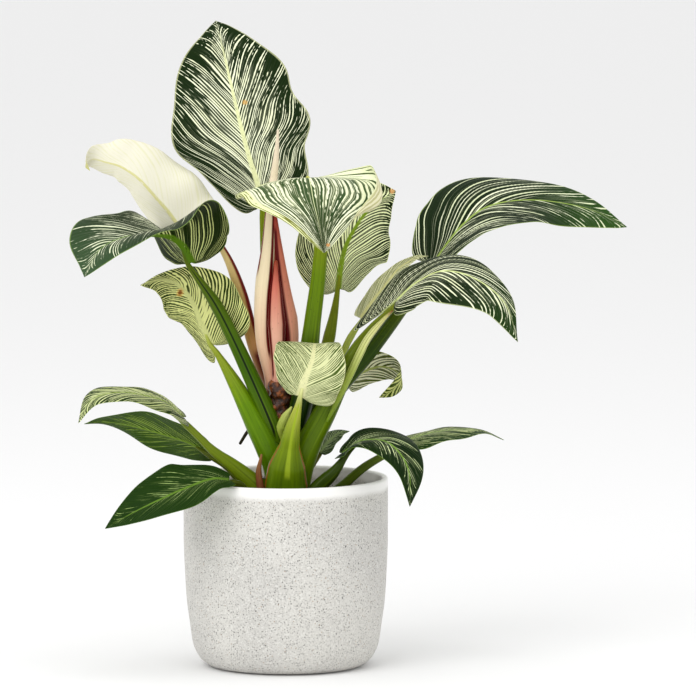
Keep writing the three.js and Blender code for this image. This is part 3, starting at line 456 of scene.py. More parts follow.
def make_piece(name, points, triangles, patterns, material):
    """A mesh object from points in millimetres. Points closer than a hundredth are merged,
    triangles that vanish are dropped, and each pattern is kept as a number at every corner."""
    keys, first, same = np.unique(
        np.round(points * MERGE_STEPS).astype(np.int64), axis=0, return_index=True,
        return_inverse=True
    )
    same = same.reshape(-1)
    corners = same[triangles]
    real = (
        (corners[:, 0] != corners[:, 1])
        & (corners[:, 1] != corners[:, 2])
        & (corners[:, 2] != corners[:, 0])
    )
    corners, origin = corners[real], triangles[real]
    mesh = bpy.data.meshes.new(name)
    mesh.vertices.add(len(first))
    mesh.vertices.foreach_set("co", (points[first] * MM).astype(np.float32).ravel())
    mesh.loops.add(corners.size)
    mesh.loops.foreach_set("vertex_index", corners.ravel().astype(np.int32))
    mesh.polygons.add(len(corners))
    mesh.polygons.foreach_set("loop_start", np.arange(0, corners.size, 3, dtype=np.int32))
    mesh.polygons.foreach_set("use_smooth", np.ones(len(corners), bool))
    for key, values in patterns.items():
        layer = mesh.attributes.new(key, "FLOAT", "CORNER")
        layer.data.foreach_set("value", values[origin].astype(np.float32).ravel())
    mesh.materials.append(material)
    mesh.update(calc_edges=True)
    mesh.validate()
    piece = bpy.data.objects.new(name, mesh)
    bpy.context.scene.collection.objects.link(piece)
    return piece


def grid_triangles(rows, columns, flip=False, closed=False):
    """Two triangles for each cell of a grid, counted row by row; closed joins last to first."""
    i = np.arange(rows - 1)[:, None]
    j = np.arange(columns if closed else columns - 1)[None, :]
    here = i * columns + j
    beside = i * columns + (j + 1) % columns
    ahead, both = here + columns, beside + columns
    first = np.stack([here, beside, both], axis=-1).reshape(-1, 3)
    second = np.stack([here, both, ahead], axis=-1).reshape(-1, 3)
    made = np.concatenate([first, second])
    return made[:, ::-1] if flip else made


def stand_for(piece, node):
    """The finished piece moves with the plant and stands for its plain node."""
    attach(piece, "root")
    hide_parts(node)


print("mesh helpers ready")

# %% Build one blade
BLADE_ROWS = 132
HALF_COLUMNS = 30
BLADE_THICKNESS = 0.8
SIDE_VEINS = 20
MIDRIB = (1.1, 1.7)     # how far it stands out underneath at the base, and its half width
MIDRIBS = {"leaf_saddle_left": (3.4, 3.0), "leaf_pale_left": (2.6, 2.8),
    "leaf_behind_right": (2.2, 2.4), "leaf_small_front": (2.0, 2.4),
    "leaf_small_right": (1.6, 2.0), "leaf_arched_left": (1.4, 2.0)}
MIDRIB_DIP = 0.35       # how far the upper face sinks over it
MIDRIB_FADE = 0.8       # it thins out almost evenly towards the tip
QUILT = 0.16            # height of the soft swelling between side veins
QUILT_ROUND = 0.7
SWEEP_POWER = 0.95      # a side vein leads nearly in proportion to how far out it is,
SWEEP_HOOK = (0.04, 6)  # and hooks towards the tip by this share, close to the margin
GATHER_POWER = 3        # the veins' lead fades out towards the tip
MARGIN_POWER = 8        # the blade keeps its thickness almost to the margin,
END_POWER = 0.2         # and almost to its base and tip
AT_BASE = 0.01          # millimetres from the base that count as the base itself
# places of the columns from midrib to margin, closer together towards the margin
SPREAD = 1 - (1 - np.linspace(0, 1, HALF_COLUMNS + 1) ** 0.9) ** 1.25


def grid_normals(grid, base_face, tip_face):
    """Upper face's direction at each grid point: cross product of the steps across and ahead."""
    across = np.gradient(grid, axis=1)
    ahead = np.gradient(grid, axis=0)
    normals = unit(np.cross(across, ahead))
    at_base = np.linalg.norm(grid - grid[0, 0], axis=-1) < AT_BASE
    normals[at_base] = base_face
    normals[-1] = tip_face
    return normals


def blade_piece(name, leaf, material, midrib, sweep=0.5, tilt=1.0, gather=1.0, quilting=QUILT):
    """Upper and lower grid of both halves, as far apart as a leaf is thick and meeting at the
    margin. A rounded rib stands out below the midrib, and the upper face dips over it. The number
    kept as vein is the place along the midrib where a side vein starts, less how far it leads."""
    length = curve_length(leaf["midrib"])
    rows = np.linspace(0, 1, BLADE_ROWS + 1)
    left, left_x, left_y = blade_half(leaf, leaf["left"], -1, length, rows, SPREAD)
    right, right_x, right_y = blade_half(leaf, leaf["right"], 1, length, rows, SPREAD)
    grid = np.concatenate([left[:, :0:-1], right], axis=1)
    reach = np.concatenate([-left_y[:, :0:-1], right_y], axis=1)
    out = np.concatenate([-SPREAD[:0:-1], SPREAD])[None, :] + 0 * reach
    place = np.concatenate([left_x[:, :0:-1], right_x], axis=1)
    row = rows[:, None] + 0 * reach
    hook, hook_power = SWEEP_HOOK
    lead = sweep * (np.abs(out) ** SWEEP_POWER + hook * np.abs(out) ** hook_power)
    vein = tilt * place - lead * (1 - gather * np.maximum(place, 0) ** GATHER_POWER)
    _, _, ends, _ = midrib_frame(leaf, np.array([0.0, 1.0]))
    normals = grid_normals(grid, ends[0], ends[1])
    body = np.sqrt(np.maximum(1 - np.abs(out) ** MARGIN_POWER, 0))
    body = body * np.sin(np.pi * row) ** END_POWER
    rib = np.exp(-((reach / midrib[1]) ** 2)) * (1 - row) ** MIDRIB_FADE
    quilt = quilting * np.cos(2 * np.pi * SIDE_VEINS * vein)
    quilt = quilt * np.sin(np.pi * np.abs(out)) ** QUILT_ROUND
    middle = grid + (quilt * body)[..., None] * normals
    half = BLADE_THICKNESS / 2 * body
    upper = middle + (half - MIDRIB_DIP * rib * body)[..., None] * normals
    lower = middle - (half + midrib[0] * rib * body)[..., None] * normals
    shape = grid.shape[:2]
    count = shape[0] * shape[1]
    triangles = np.concatenate([grid_triangles(*shape), grid_triangles(*shape, flip=True) + count])
    points = np.concatenate([upper.reshape(-1, 3), lower.reshape(-1, 3)])
    patterns = {
        "vein": np.tile(vein.ravel(), 2),
        "place": np.tile(place.ravel(), 2),
        "out": np.tile(out.ravel(), 2),
        "reach": np.tile(reach.ravel(), 2),
        "upper": np.repeat([1.0, 0.0], count),
    }
    return make_piece(name, points, triangles, patterns, material)


print("blade grids have", BLADE_ROWS, "rows and", 2 * HALF_COLUMNS, "columns")

# %% [markdown]
# ## Stalks and sheaths
# A stalk is a profile carried along a path. Its section is nearly round, with a shallow groove on
# one side, as leaf stalks have where they clasped the next one. Two numbers are kept for the
# colours: the place along the stalk, and the angle round it counted from the side facing front.

# %% Tube along a path
TUBE_SIDES = 28
TUBE_STEPS = 70
CENTRE_STEP = 0.002     # of the path, each way, to find its direction
GROOVE = 0.12           # depth of a stalk's groove, as a share of the radius
GROOVE_SPAN = 0.38      # how far round it reaches, in radians
CAP_RINGS = np.array([0.0, 0.35, 0.7, 0.92])    # sizes of the rings that close an end
FOOT_ROUND = 0.5        # how far the caps bulge, in radii
HEAD_ROUND = 0.8
KNOTS = ((2, 61), (3, -83))     # waves round a knotty stem, and how fast each winds along it
STALK_UNDER = 2.4       # from the blade's middle to the stalk's, where they join
STALK_UNDER_END = 1.1   # the same where the stalk has thinned out
STALK_END_PLACE = 0.1   # share of the midrib that the stalk runs under
STALK_END_RADII = [2.6, 1]


def tube_frames(route):
    """Centre line, its direction and two side directions: the one to the front, less what points
    along the path, and the one at a right angle to both."""
    places = np.linspace(0, 1, TUBE_STEPS + 1)
    centre = at_length(route, places)
    ahead = at_length(route, np.minimum(places + CENTRE_STEP, 1))
    tangent = unit(ahead - at_length(route, np.maximum(places - CENTRE_STEP, 0)))
    front = np.array([0.0, -1.0, 0.0])
    toward = unit(front - (tangent @ front)[:, None] * tangent)
    return places, centre, tangent, toward, np.cross(tangent, toward)


def tube_piece(name, route, radii, material, groove=0.0, lumps=0.0):
    """Rings of points round a path. The radius follows the list, dips in a groove, which is a bell
    curve of the angle, and swells in knots, which are sine waves round and along the tube. Both
    ends close in a rounded cap whose rings shrink to one point."""
    places, centre, tangent, toward, beside = tube_frames(route)
    angle = np.linspace(0, 2 * np.pi, TUBE_SIDES, endpoint=False)
    turn = (angle + np.pi) % (2 * np.pi) - np.pi
    section = 1 - groove * np.exp(-((turn / GROOVE_SPAN) ** 2))
    radius = between(radii, places)
    ring = (
        np.cos(angle)[None, :, None] * toward[:, None, :]
        + np.sin(angle)[None, :, None] * beside[:, None, :]
    )
    knots = sum(np.sin(waves * angle + winding * places[:, None]) for waves, winding in KNOTS)
    body = centre[:, None, :] + (radius[:, None] * section * (1 + lumps * knots))[..., None] * ring
    cap = CAP_RINGS[:, None, None]
    bulge = np.sqrt(1 - cap**2)
    foot = centre[0] + cap * (body[0] - centre[0]) - FOOT_ROUND * radius[0] * bulge * tangent[0]
    cap, bulge = cap[::-1], bulge[::-1]
    head = centre[-1] + cap * (body[-1] - centre[-1])
    head = head + HEAD_ROUND * radius[-1] * bulge * tangent[-1]
    rings = np.concatenate([foot, body, head])
    along_it = np.concatenate([np.zeros(len(cap)), places, np.ones(len(cap))])
    shape = rings.shape[:2]
    around = np.where(angle > np.pi, angle - 2 * np.pi, angle) / np.pi
    patterns = {
        "along": np.repeat(along_it, TUBE_SIDES),
        "around": np.tile(around, shape[0]),
        "front": np.tile(np.cos(angle), shape[0]),
        "side": np.tile(np.sin(angle), shape[0]),
    }
    triangles = grid_triangles(*shape, closed=True)
    return make_piece(name, rings.reshape(-1, 3), triangles, patterns, material)


def stalk_route(leaf):
    """The stalk runs on under the midrib for a short way and thins out there."""
    point, _, face, _ = midrib_frame(leaf, np.array([0.0, STALK_END_PLACE]))
    under = point[0] - STALK_UNDER * face[0]
    end = point[1] - STALK_UNDER_END * face[1]
    return [*leaf["stalk"], tuple(under), tuple(end)], [*leaf["radii"], *STALK_END_RADII]


print("stalk function ready")

# %% [markdown]
# ## Writing shader maths as plain formulas
# Blender's shader nodes are easy to draw and hard to read. A small class wraps a socket, so that
# `1 - mask * 0.5` adds the right Math nodes by itself. Colours are mixed by Mix nodes, because a
# Math node would turn a colour grey.

# %% Wires that know arithmetic
class Wire:
    """A node's output that can be added, multiplied and so on like a number."""

    def __init__(self, recipe, socket):
        self.recipe = recipe
        self.socket = socket

    def maths(self, operation, first, second):
        made = self.recipe.node("ShaderNodeMath", {"operation": operation}, {0: first, 1: second})
        return Wire(self.recipe, made.outputs[0])

    def __add__(self, other):
        return self.maths("ADD", self, other)

    def __sub__(self, other):
        return self.maths("SUBTRACT", self, other)

    def __rsub__(self, other):
        return self.maths("SUBTRACT", other, self)

    def __mul__(self, other):
        return self.maths("MULTIPLY", self, other)

    def __truediv__(self, other):
        return self.maths("DIVIDE", self, other)

    def __pow__(self, other):
        return self.maths("POWER", self, other)

    def larger(self, other):
        return self.maths("MAXIMUM", self, other)

    def size(self):
        return self.maths("ABSOLUTE", self, 0.0)

    def sine(self):
        return self.maths("SINE", self, 0.0)

    def sign(self):
        return self.maths("SIGN", self, 0.0)

    __radd__ = __add__
    __rmul__ = __mul__


def rgb(red, green, blue):
    """A colour as seen on a screen, 0 to 255, turned into the linear values that shaders use."""
    shares = np.array([red, green, blue]) / 255
    linear = np.where(shares <= 0.04045, shares / 12.92, ((shares + 0.055) / 1.055) ** 2.4)
    return (*linear.tolist(), 1.0)


class Recipe:
    """One material: a Principled shader and short calls for the nodes that feed it."""

    def __init__(self, name, **constants):
        self.material = bpy.data.materials.new(name)
        self.material.use_nodes = True
        self.tree = self.material.node_tree
        self.shader = self.tree.nodes["Principled BSDF"]
        for key, value in constants.items():
            self.shader.inputs[key.replace("_", " ")].default_value = value

    def node(self, kind, settings=None, sockets=None):
        """A new node: first its settings, or its ramp's stops, then values or links of sockets."""
        made = self.tree.nodes.new(kind)
        for key, value in (settings or {}).items():
            if key == "stops":
                ramp = made.color_ramp
                while len(ramp.elements) < len(value):
                    ramp.elements.new(1.0)
                for element, (place, colour) in zip(ramp.elements, value):
                    element.position = place
                    element.color = colour
            else:
                setattr(made, key, value)
        for key, value in (sockets or {}).items():
            if isinstance(value, Wire):
                self.tree.links.new(value.socket, made.inputs[key])
            else:
                made.inputs[key].default_value = value
        return made

    def number(self, name):
        """One of the numbers kept at the mesh's corners."""
        return Wire(self, self.node("ShaderNodeAttribute", {"attribute_name": name}).outputs["Fac"])

    def place(self):
        """Object coordinates, in metres."""
        return Wire(self, self.node("ShaderNodeTexCoord").outputs["Object"])

    def vector(self, x=0.0, y=0.0, z=0.0):
        made = self.node("ShaderNodeCombineXYZ", None, {0: x, 1: y, 2: z})
        return Wire(self, made.outputs[0])

    def noise(self, vector, scale=1.0, detail=1.0, roughness=0.5):
        """Smooth cloudy values round 0.5."""
        sockets = {"Vector": vector, "Scale": scale, "Detail": detail, "Roughness": roughness}
        return Wire(self, self.node("ShaderNodeTexNoise", None, sockets).outputs["Fac"])

    def spots(self, vector, scale):
        """Distance to the nearest of many scattered points, and that point's own grey."""
        made = self.node("ShaderNodeTexVoronoi", None, {"Vector": vector, "Scale": scale})
        own = self.node("ShaderNodeSeparateColor", None, {0: Wire(self, made.outputs["Color"])})
        return Wire(self, made.outputs["Distance"]), Wire(self, own.outputs[0])

    def step(self, value, low, high):
        """A soft step from 0 to 1 while the value goes from low to high."""
        settings = {"interpolation_type": "SMOOTHSTEP"}
        sockets = {0: value, 1: low, 2: high, 3: 0.0, 4: 1.0}
        return Wire(self, self.node("ShaderNodeMapRange", settings, sockets).outputs[0])

    def ramp(self, value, stops):
        """A colour that follows the value through the stops."""
        made = self.node("ShaderNodeValToRGB", {"stops": stops}, {0: value})
        return Wire(self, made.outputs[0])

    def blend(self, share, first, second):
        """Mix two colours by a share."""
        settings = {"data_type": "RGBA", "blend_type": "MIX", "clamp_factor": True}
        made = self.node("ShaderNodeMix", settings, {0: share, 6: first, 7: second})
        return Wire(self, made.outputs[2])

    def bump(self, height, distance, strength=1.0):
        """Small relief on the surface, by a height that runs from 0 to 1 over the distance."""
        sockets = {"Height": height, "Distance": distance, "Strength": strength}
        made = self.node("ShaderNodeBump", None, sockets)
        self.tree.links.new(made.outputs[0], self.shader.inputs["Normal"])

    def feed(self, **wires):
        """Link finished wires to the shader's sockets."""
        for key, wire in wires.items():
            self.tree.links.new(wire.socket, self.shader.inputs[key.replace("_", " ")])
        return self.material


print("shader helpers ready")

# %% [markdown]
# ## Striped leaf
# Stripes could be a picture laid on the leaf, but it would blur from near. Here they are a sine
# wave counted from side vein to side vein, so each stripe runs along a vein. Noise bends the wave,
# makes some stripes wider than others and chops them. Two numbers set how much of the leaf is cream
# at its base and at its tip.

# %% Stripes as a share of cream
TURN = 2 * np.pi
HALF_APART = 3          # so that the two halves of a leaf get other stripes
WARP = 2.4              # how far the noise bends the broad lines, in lines
HAIR_RATE = 2.3         # thin lines to one broad line
HAIR_WARP = 1.3
HAIR_SPREAD = (0.6, 1.5)    # thin lines' share of the cream, and how uneven they are
HAIR_END = (0.9, 0.3)   # thin lines are gone at the first place and whole from the second inwards
# noises by how fast they change across the lines and along them, and their seeds' shift
BEND, CROWD, FINE = (0.3, 0.7, 0.0), (0.8, 1.2, 3.0), (1.7, 1.6, 7.0)
PATCH, CHOP_SHIFT = (9, 2.2, 11.0), 23.0
PATCHES = 0.5           # how much paler or darker whole patches are
AS_LISTED = 0.45        # place from midrib to margin where the share of cream is as listed


def stripes(recipe, seed, count, share, fade, softness, hairs, uneven, ragged, grain):
    """Two layers of wavy lines, broad and thin: a sine wave of the side vein's number is cream
    where it stays above a level. The level follows the share of cream from base to tip and from
    midrib to margin, is uneven from line to line and ragged along each."""
    vein, out, place = recipe.number("vein"), recipe.number("out"), recipe.number("place")
    line, lane = vein * count, out + place + out.sign() * HALF_APART

    def cloud(across, on, shift):
        """Noise by how fast it changes across the lines and on along them."""
        return recipe.noise(recipe.vector(line * across, lane * on, seed + shift), detail=0.0)

    warp, crowd, fine = cloud(*BEND), cloud(*CROWD), cloud(*FINE)
    chop = cloud(1.0, grain, CHOP_SHIFT)
    across, on, shift = PATCH
    patch = recipe.noise(recipe.vector(vein * across, lane * on, seed + shift))
    base_share, tip_share = share
    cream = place.larger(0.0) * (tip_share - base_share) + base_share
    cream = cream + (AS_LISTED - out.size()) * fade + (patch - 0.5) * PATCHES
    thick = cream + (crowd - 0.5) * uneven + (chop - 0.5) * ragged
    wave = ((line + warp * WARP) * TURN).sine()
    broad = recipe.step(wave + thick * 2 - 1, -softness, softness)
    hair_share, hair_uneven = HAIR_SPREAD
    thin = cream * hair_share + (fine - 0.5) * hair_uneven
    thin_wave = ((line * HAIR_RATE + fine * HAIR_WARP) * TURN).sine()
    hair = recipe.step(thin_wave + thin * 2 - 1, -softness, softness) * hairs
    hair = hair * recipe.step(out.size(), *HAIR_END)
    return broad.larger(hair), wave, crowd, fine, patch


print("stripe formula ready")

# %% Leaf material
LEAF_LOOK = dict(tip_green=None, rib_width=1.3, under_rib=None, under_width=None, edge=None,
    relief=0.4, fade=0.3, softness=0.16, hairs=0.55, uneven=1.0, ragged=0.6, grain=11, shaded_flank=None,
    marks=())
LEAF_ROUGHNESS = 0.45
STRIPE_KEYS = ("count", "share", "fade", "softness", "hairs", "uneven", "ragged", "grain")
MARGIN, MARGIN_SHARE = (0.965, 0.99), 0.55
RIB_TAPER, RIB_EDGE, RIB_END = 1.2, (0.7, 1.3), (1.0, 0.7)
RIB_FLECKS, RIB_GAPS = (1.6, 0.8, 17.0), (0.22, 0.42)
# the pale fold is a painted highlight, and the turned-down side past it is painted shade
FLANK_EDGE = (0.03, 0.02)   # widths of the pale fold and of the step to the turned-down side
# strength of the painted highlight along the fold
FLANK_HIGHLIGHT = 0.7
MARK_EDGE, MARK_SHARE = 0.1, 0.85
TIP_STEP = (0.45, 1.0)      # places between which the green changes towards the tip
MOTTLE, MOTTLE_SHARE = (0.35, 0.65), 0.12
TINT, TINT_SHARE = (0.35, 0.7), 0.35
SWELL = 0.0004              # metres
GLOSS_SPREAD = 0.3


def paint_rib(recipe, colour, look, seed):
    """A band along the midrib that narrows to the tip, flecked by noise, and another band along
    the margin."""
    vein, out, place = recipe.number("vein"), recipe.number("out"), recipe.number("place")
    reach, upper = recipe.number("reach"), recipe.number("upper")
    above, below = look["rib_width"], look["under_width"] or look["rib_width"]
    half_width = ((above - below) * upper + below) * (RIB_TAPER - place)
    tone = recipe.blend(upper, rgb(*(look["under_rib"] or look["rib"])), rgb(*look["rib"]))
    across, on, shift = RIB_FLECKS
    flecks = recipe.vector(vein * look["count"] * across, reach * on, seed + shift)
    band = 1 - recipe.step(reach.size() / half_width, *RIB_EDGE)
    band = band * recipe.step(recipe.noise(flecks), *RIB_GAPS) * recipe.step(place, *RIB_END)
    colour = recipe.blend(band, colour, tone)
    margin = recipe.step(out.size(), *MARGIN) * MARGIN_SHARE
    return recipe.blend(margin, colour, rgb(*(look["edge"] or look["rib"])))


def paint_shaded_flank(recipe, colour, mask, look):
    """A painted highlight along a pale fold, and past it painted shade: another ground and other
    stripes, darker, as if the margin were turned down away from the light.
    """
    side, start, tone = look["shaded_flank"]
    fold, turned = FLANK_EDGE
    out = recipe.number("out") * side
    pale = recipe.step(out, start - fold, start) * FLANK_HIGHLIGHT
    colour = recipe.blend(pale, colour, rgb(*look["cream"]))
    shaded_stripes = recipe.blend(mask, rgb(*tone), rgb(*look["rib"]))
    return recipe.blend(recipe.step(out, start, start + turned), colour, shaded_stripes)


def paint_mark(recipe, colour, ragged, length, mark):
    """A brown spot: near enough to its centre, in millimetres along and across, less some noise."""
    along_rib, across, size, tone = mark
    place, reach = recipe.number("place"), recipe.number("reach")
    far = ((place - along_rib) * length) ** 2.0 + (reach - across) ** 2.0
    spot = 1 - recipe.step(far + (ragged - 0.5) * size**2, size**2 * MARK_EDGE, size**2)
    return recipe.blend(spot * MARK_SHARE, colour, rgb(*tone))


def leaf_material(name, seed, length, look):
    """Cream stripes over green, other tones underneath, then the midrib and margin, a flank
    of painted shade behind a painted highlight, and the marks. The surface swells a little
    with the stripes."""
    look = {**LEAF_LOOK, **look}
    recipe = Recipe(name, Roughness=LEAF_ROUGHNESS, Specular_IOR_Level=0.06)
    place, upper = recipe.number("place"), recipe.number("upper")
    stripe_look = {key: look[key] for key in STRIPE_KEYS}
    mask, wave, crowd, fine, patch = stripes(recipe, seed, **stripe_look)
    green, cream, rib = rgb(*look["green"]), rgb(*look["cream"]), rgb(*look["rib"])
    under_green, under_cream = rgb(*look["under_green"]), rgb(*look["under_cream"])
    tip_green = rgb(*(look["tip_green"] or look["green"]))
    greens = recipe.blend(recipe.step(place, *TIP_STEP), green, tip_green)
    greens = recipe.blend(recipe.step(fine, *MOTTLE) * MOTTLE_SHARE, greens, under_green)
    creams = recipe.blend(recipe.step(patch, *TINT) * TINT_SHARE, cream, rib)
    above = recipe.blend(mask, greens, creams)
    colour = recipe.blend(upper, recipe.blend(mask, under_green, under_cream), above)
    colour = paint_rib(recipe, colour, look, seed)
    # painted shade on a margin strip, behind a painted highlight along its fold
    if look["shaded_flank"]:
        colour = paint_shaded_flank(recipe, colour, mask, look)
    for mark in look["marks"]:
        colour = paint_mark(recipe, colour, fine, length, mark)
    recipe.bump(wave * 0.5 + fine, SWELL, look["relief"])
    rough = LEAF_ROUGHNESS + (crowd - 0.5) * GLOSS_SPREAD
    return recipe.feed(Base_Color=colour, Roughness=rough)


print("leaf material ready")

# %% Looks of the leaves
CREAM, IVORY = (244, 248, 214), (228, 225, 206)
PALE_GREEN, OLIVE = (216, 224, 150), (40, 58, 8)
LEAF_LOOKS = {
    "leaf_top": dict(green=(18, 36, 8), cream=CREAM, rib=(222, 226, 172), under_green=OLIVE,
        under_cream=PALE_GREEN, count=40, share=(0.27, 0.08), rib_width=1.8, fade=0.45, hairs=0.2,
        uneven=1.7, ragged=0.9, marks=[(0.52, 7, 2.4, (206, 160, 84))]),
    "leaf_new_cream": dict(green=(222, 220, 188), cream=IVORY, rib=(214, 210, 150),
        under_green=(222, 220, 188), under_cream=IVORY, count=23, share=(0.9, 0.9), hairs=0.0,
        edge=IVORY, softness=0.7, relief=0.12, marks=[(1.0, 0, 11, (184, 182, 104))]),
    "leaf_saddle_left": dict(green=(24, 42, 14), cream=CREAM, rib=(120, 148, 80),
        under_green=(22, 38, 4), under_cream=(206, 216, 140), count=28, share=(0.14, 0.03),
        # towards the tip its green turns greyer and bluer: partly the leaf's own tone, partly
        # painted sheen
        ragged=0.25, tip_green=(58, 82, 52), hairs=0.2, edge=(150, 180, 90),
        under_rib=(84, 120, 20), under_width=3.0),
    "leaf_pale_left": dict(green=(58, 84, 16), cream=(226, 230, 150), rib=(208, 212, 140),
        under_green=(34, 56, 2), under_cream=(226, 230, 150), count=26, share=(0.54, 0.5),
        rib_width=2.2, hairs=0.25, ragged=1.0,
        marks=[(0.56, 3, 4.0, (214, 168, 80)), (0.56, 3, 2.4, (110, 44, 16))]),
    "leaf_front_arched": dict(green=(52, 78, 34), cream=CREAM, rib=(236, 242, 184),
        under_green=(196, 192, 140), under_cream=(232, 228, 190), count=11, share=(0.5, -0.1),
        tip_green=(16, 42, 8), fade=-0.7, rib_width=0.3, hairs=0.65, uneven=1.6, ragged=1.1,
        # flank: the side, where it starts, and the colour of its painted shade
        grain=18, shaded_flank=(1, 0.84, (120, 124, 50)), marks=[(0.95, -4, 1.8, (206, 140, 70))]),
    "leaf_behind_right": dict(green=(18, 38, 8), cream=CREAM, rib=(120, 148, 36),
        under_green=(18, 36, 4), under_cream=(238, 246, 190), count=20, share=(0.4, 0.32),
        rib_width=1.8, hairs=0.35, edge=(222, 232, 150), marks=[(0.97, 1, 2.4, (216, 156, 92))]),
    "leaf_long_right": dict(green=(18, 35, 10), cream=CREAM, rib=(150, 174, 84), under_green=OLIVE,
        under_cream=PALE_GREEN, count=15, share=(0.09, -0.06), fade=-0.05, ragged=0.25,
        tip_green=(40, 76, 18), hairs=0.3, rib_width=1.0),
    "leaf_drooping_right": dict(green=(17, 34, 7), cream=CREAM, rib=(210, 222, 150),
        under_green=OLIVE, under_cream=PALE_GREEN, count=14, share=(0.18, 0.07), fade=0.2,
        ragged=0.3, tip_green=(32, 60, 14), hairs=0.2, rib_width=1.0, edge=(214, 226, 160)),
    "leaf_narrow_right": dict(green=(104, 116, 44), cream=(236, 236, 196), rib=(226, 224, 160),
        under_green=(128, 130, 76), under_cream=(238, 236, 204), count=18, share=(0.62, 0.66),
        hairs=0.3),
    "leaf_small_front": dict(green=(70, 96, 18), cream=(214, 220, 138), rib=(226, 226, 172),
        under_green=(66, 88, 22), under_cream=(220, 224, 170), count=30, share=(0.58, 0.54),
        rib_width=2.8, hairs=0.4, uneven=1.3, ragged=1.0, softness=0.35),
    "leaf_small_right": dict(green=(56, 74, 6), cream=(206, 212, 130), rib=(180, 190, 104),
        under_green=(80, 94, 22), under_cream=(252, 252, 214), count=10, share=(0.48, 0.42),
        hairs=0.2),
    "leaf_small_back": dict(green=(60, 78, 48), cream=(170, 186, 140), rib=(130, 150, 96),
        under_green=(66, 84, 50), under_cream=(170, 186, 140), count=14, share=(0.2, 0.2),
        hairs=0.2),
    "leaf_lower_right": dict(green=(14, 36, 4), cream=(222, 234, 180), rib=(120, 156, 62),
        under_green=(48, 72, 14), under_cream=(196, 210, 130), count=20, share=(0.0, -0.08),
        hairs=0.3, ragged=0.3),
    "leaf_far_right": dict(green=(26, 56, 8), cream=(214, 224, 164), rib=(140, 168, 76),
        under_green=(54, 82, 20), under_cream=(196, 210, 130), count=20, share=(0.16, 0.06),
        hairs=0.3),
    "leaf_arched_left": dict(green=(30, 54, 8), cream=(226, 234, 172), rib=(140, 164, 62),
        under_green=(70, 92, 20), under_cream=(236, 242, 176), count=20, share=(0.38, 0.32),
        hairs=0.3),
    "leaf_dark_left": dict(green=(34, 56, 4), cream=(180, 198, 110), rib=(104, 134, 34),
        under_green=(44, 72, 4), under_cream=(130, 156, 62), count=22, share=(0.04, -0.02),
        hairs=0.25, ragged=0.3),
    "leaf_over_rim": dict(green=(26, 52, 8), cream=(168, 190, 118), rib=(96, 130, 44),
        under_green=(52, 80, 16), under_cream=(190, 206, 130), count=28, share=(-0.08, -0.2),
        hairs=0.3, ragged=0.3),
}
print(len(LEAF_LOOKS), "leaf finishes listed")

# %% [markdown]
# ## Stalk finish
# Stalks are juicy and smooth: bright green, yellower where light shines through, with faint
# streaks along them, tiny dark flecks, and on some a dark line where the groove's edge runs. Two
# are painted darker where they stand in shadow, and one has a painted highlight along its front.

# %% Stalk material
STALK_LOOK = dict(lines=(), flecks=0.22, gloss=0.32, streaks=0.5)
STREAK_DARK, STREAK_LIGHT, FLECK = rgb(20, 34, 8), rgb(186, 214, 36), rgb(58, 50, 18)
FLECK_SCALE = 420.0     # scattered points to a metre
FLECK_EDGE, FLECK_RARITY = (0.1, 0.3), (0.72, 0.8)
STREAK_ROUND, STREAK_ALONG = 6, 3
DARK_STREAKS, DARK_SHARE = (0.45, 0.75), 0.62
LIGHT_STREAKS, LIGHT_SHARE, LIGHT_STRENGTH = (0.48, 0.25), 0.4, 0.6
LINE_EDGE = (0.5, 1.2)  # in half widths: a line is full up to the first and gone at the second
STALK_RELIEF = 0.0005   # metres
LINE_END = 0.05         # share of the stalk over which a line fades in and out


def stalk_material(name, seed, stops, lines, flecks, gloss, streaks):
    """A colour ramp along the stalk, darkened and lightened by long thin streaks of noise, with
    small flecks. Each line is a soft band round one angle: place, half width, colour, and where it
    starts and ends. Most are the stalks' own lines, and one is a painted highlight."""
    recipe = Recipe(name, Specular_IOR_Level=0.12)
    along_it, around = recipe.number("along"), recipe.number("around")
    front, side = recipe.number("front"), recipe.number("side")
    colour = recipe.ramp(along_it, [(place, rgb(*shade)) for place, shade in stops])
    spot = recipe.vector(front * STREAK_ROUND, side * STREAK_ROUND, along_it * STREAK_ALONG + seed)
    grain = recipe.noise(spot, detail=3.0)
    dark = recipe.blend(DARK_SHARE, colour, STREAK_DARK)
    colour = recipe.blend(recipe.step(grain, *DARK_STREAKS) * streaks, colour, dark)
    light = recipe.blend(LIGHT_SHARE, colour, STREAK_LIGHT)
    share = recipe.step(grain, *LIGHT_STREAKS) * streaks * LIGHT_STRENGTH
    colour = recipe.blend(share, colour, light)
    for place, width, shade, start, end in lines:
        band = 1 - recipe.step((around - place).size() / width, *LINE_EDGE)
        band = band * recipe.step(along_it, start, start + LINE_END)
        band = band * (1 - recipe.step(along_it, end - LINE_END, end))
        colour = recipe.blend(band, colour, rgb(*shade))
    distance, own = recipe.spots(recipe.place(), FLECK_SCALE)
    fleck = (1 - recipe.step(distance, *FLECK_EDGE)) * recipe.step(own, *FLECK_RARITY) * flecks
    colour = recipe.blend(fleck, colour, FLECK)
    recipe.bump(grain, STALK_RELIEF, 0.4)
    return recipe.feed(Base_Color=colour, Roughness=grain * 0.2 + (gloss - 0.1))


print("stalk material ready")

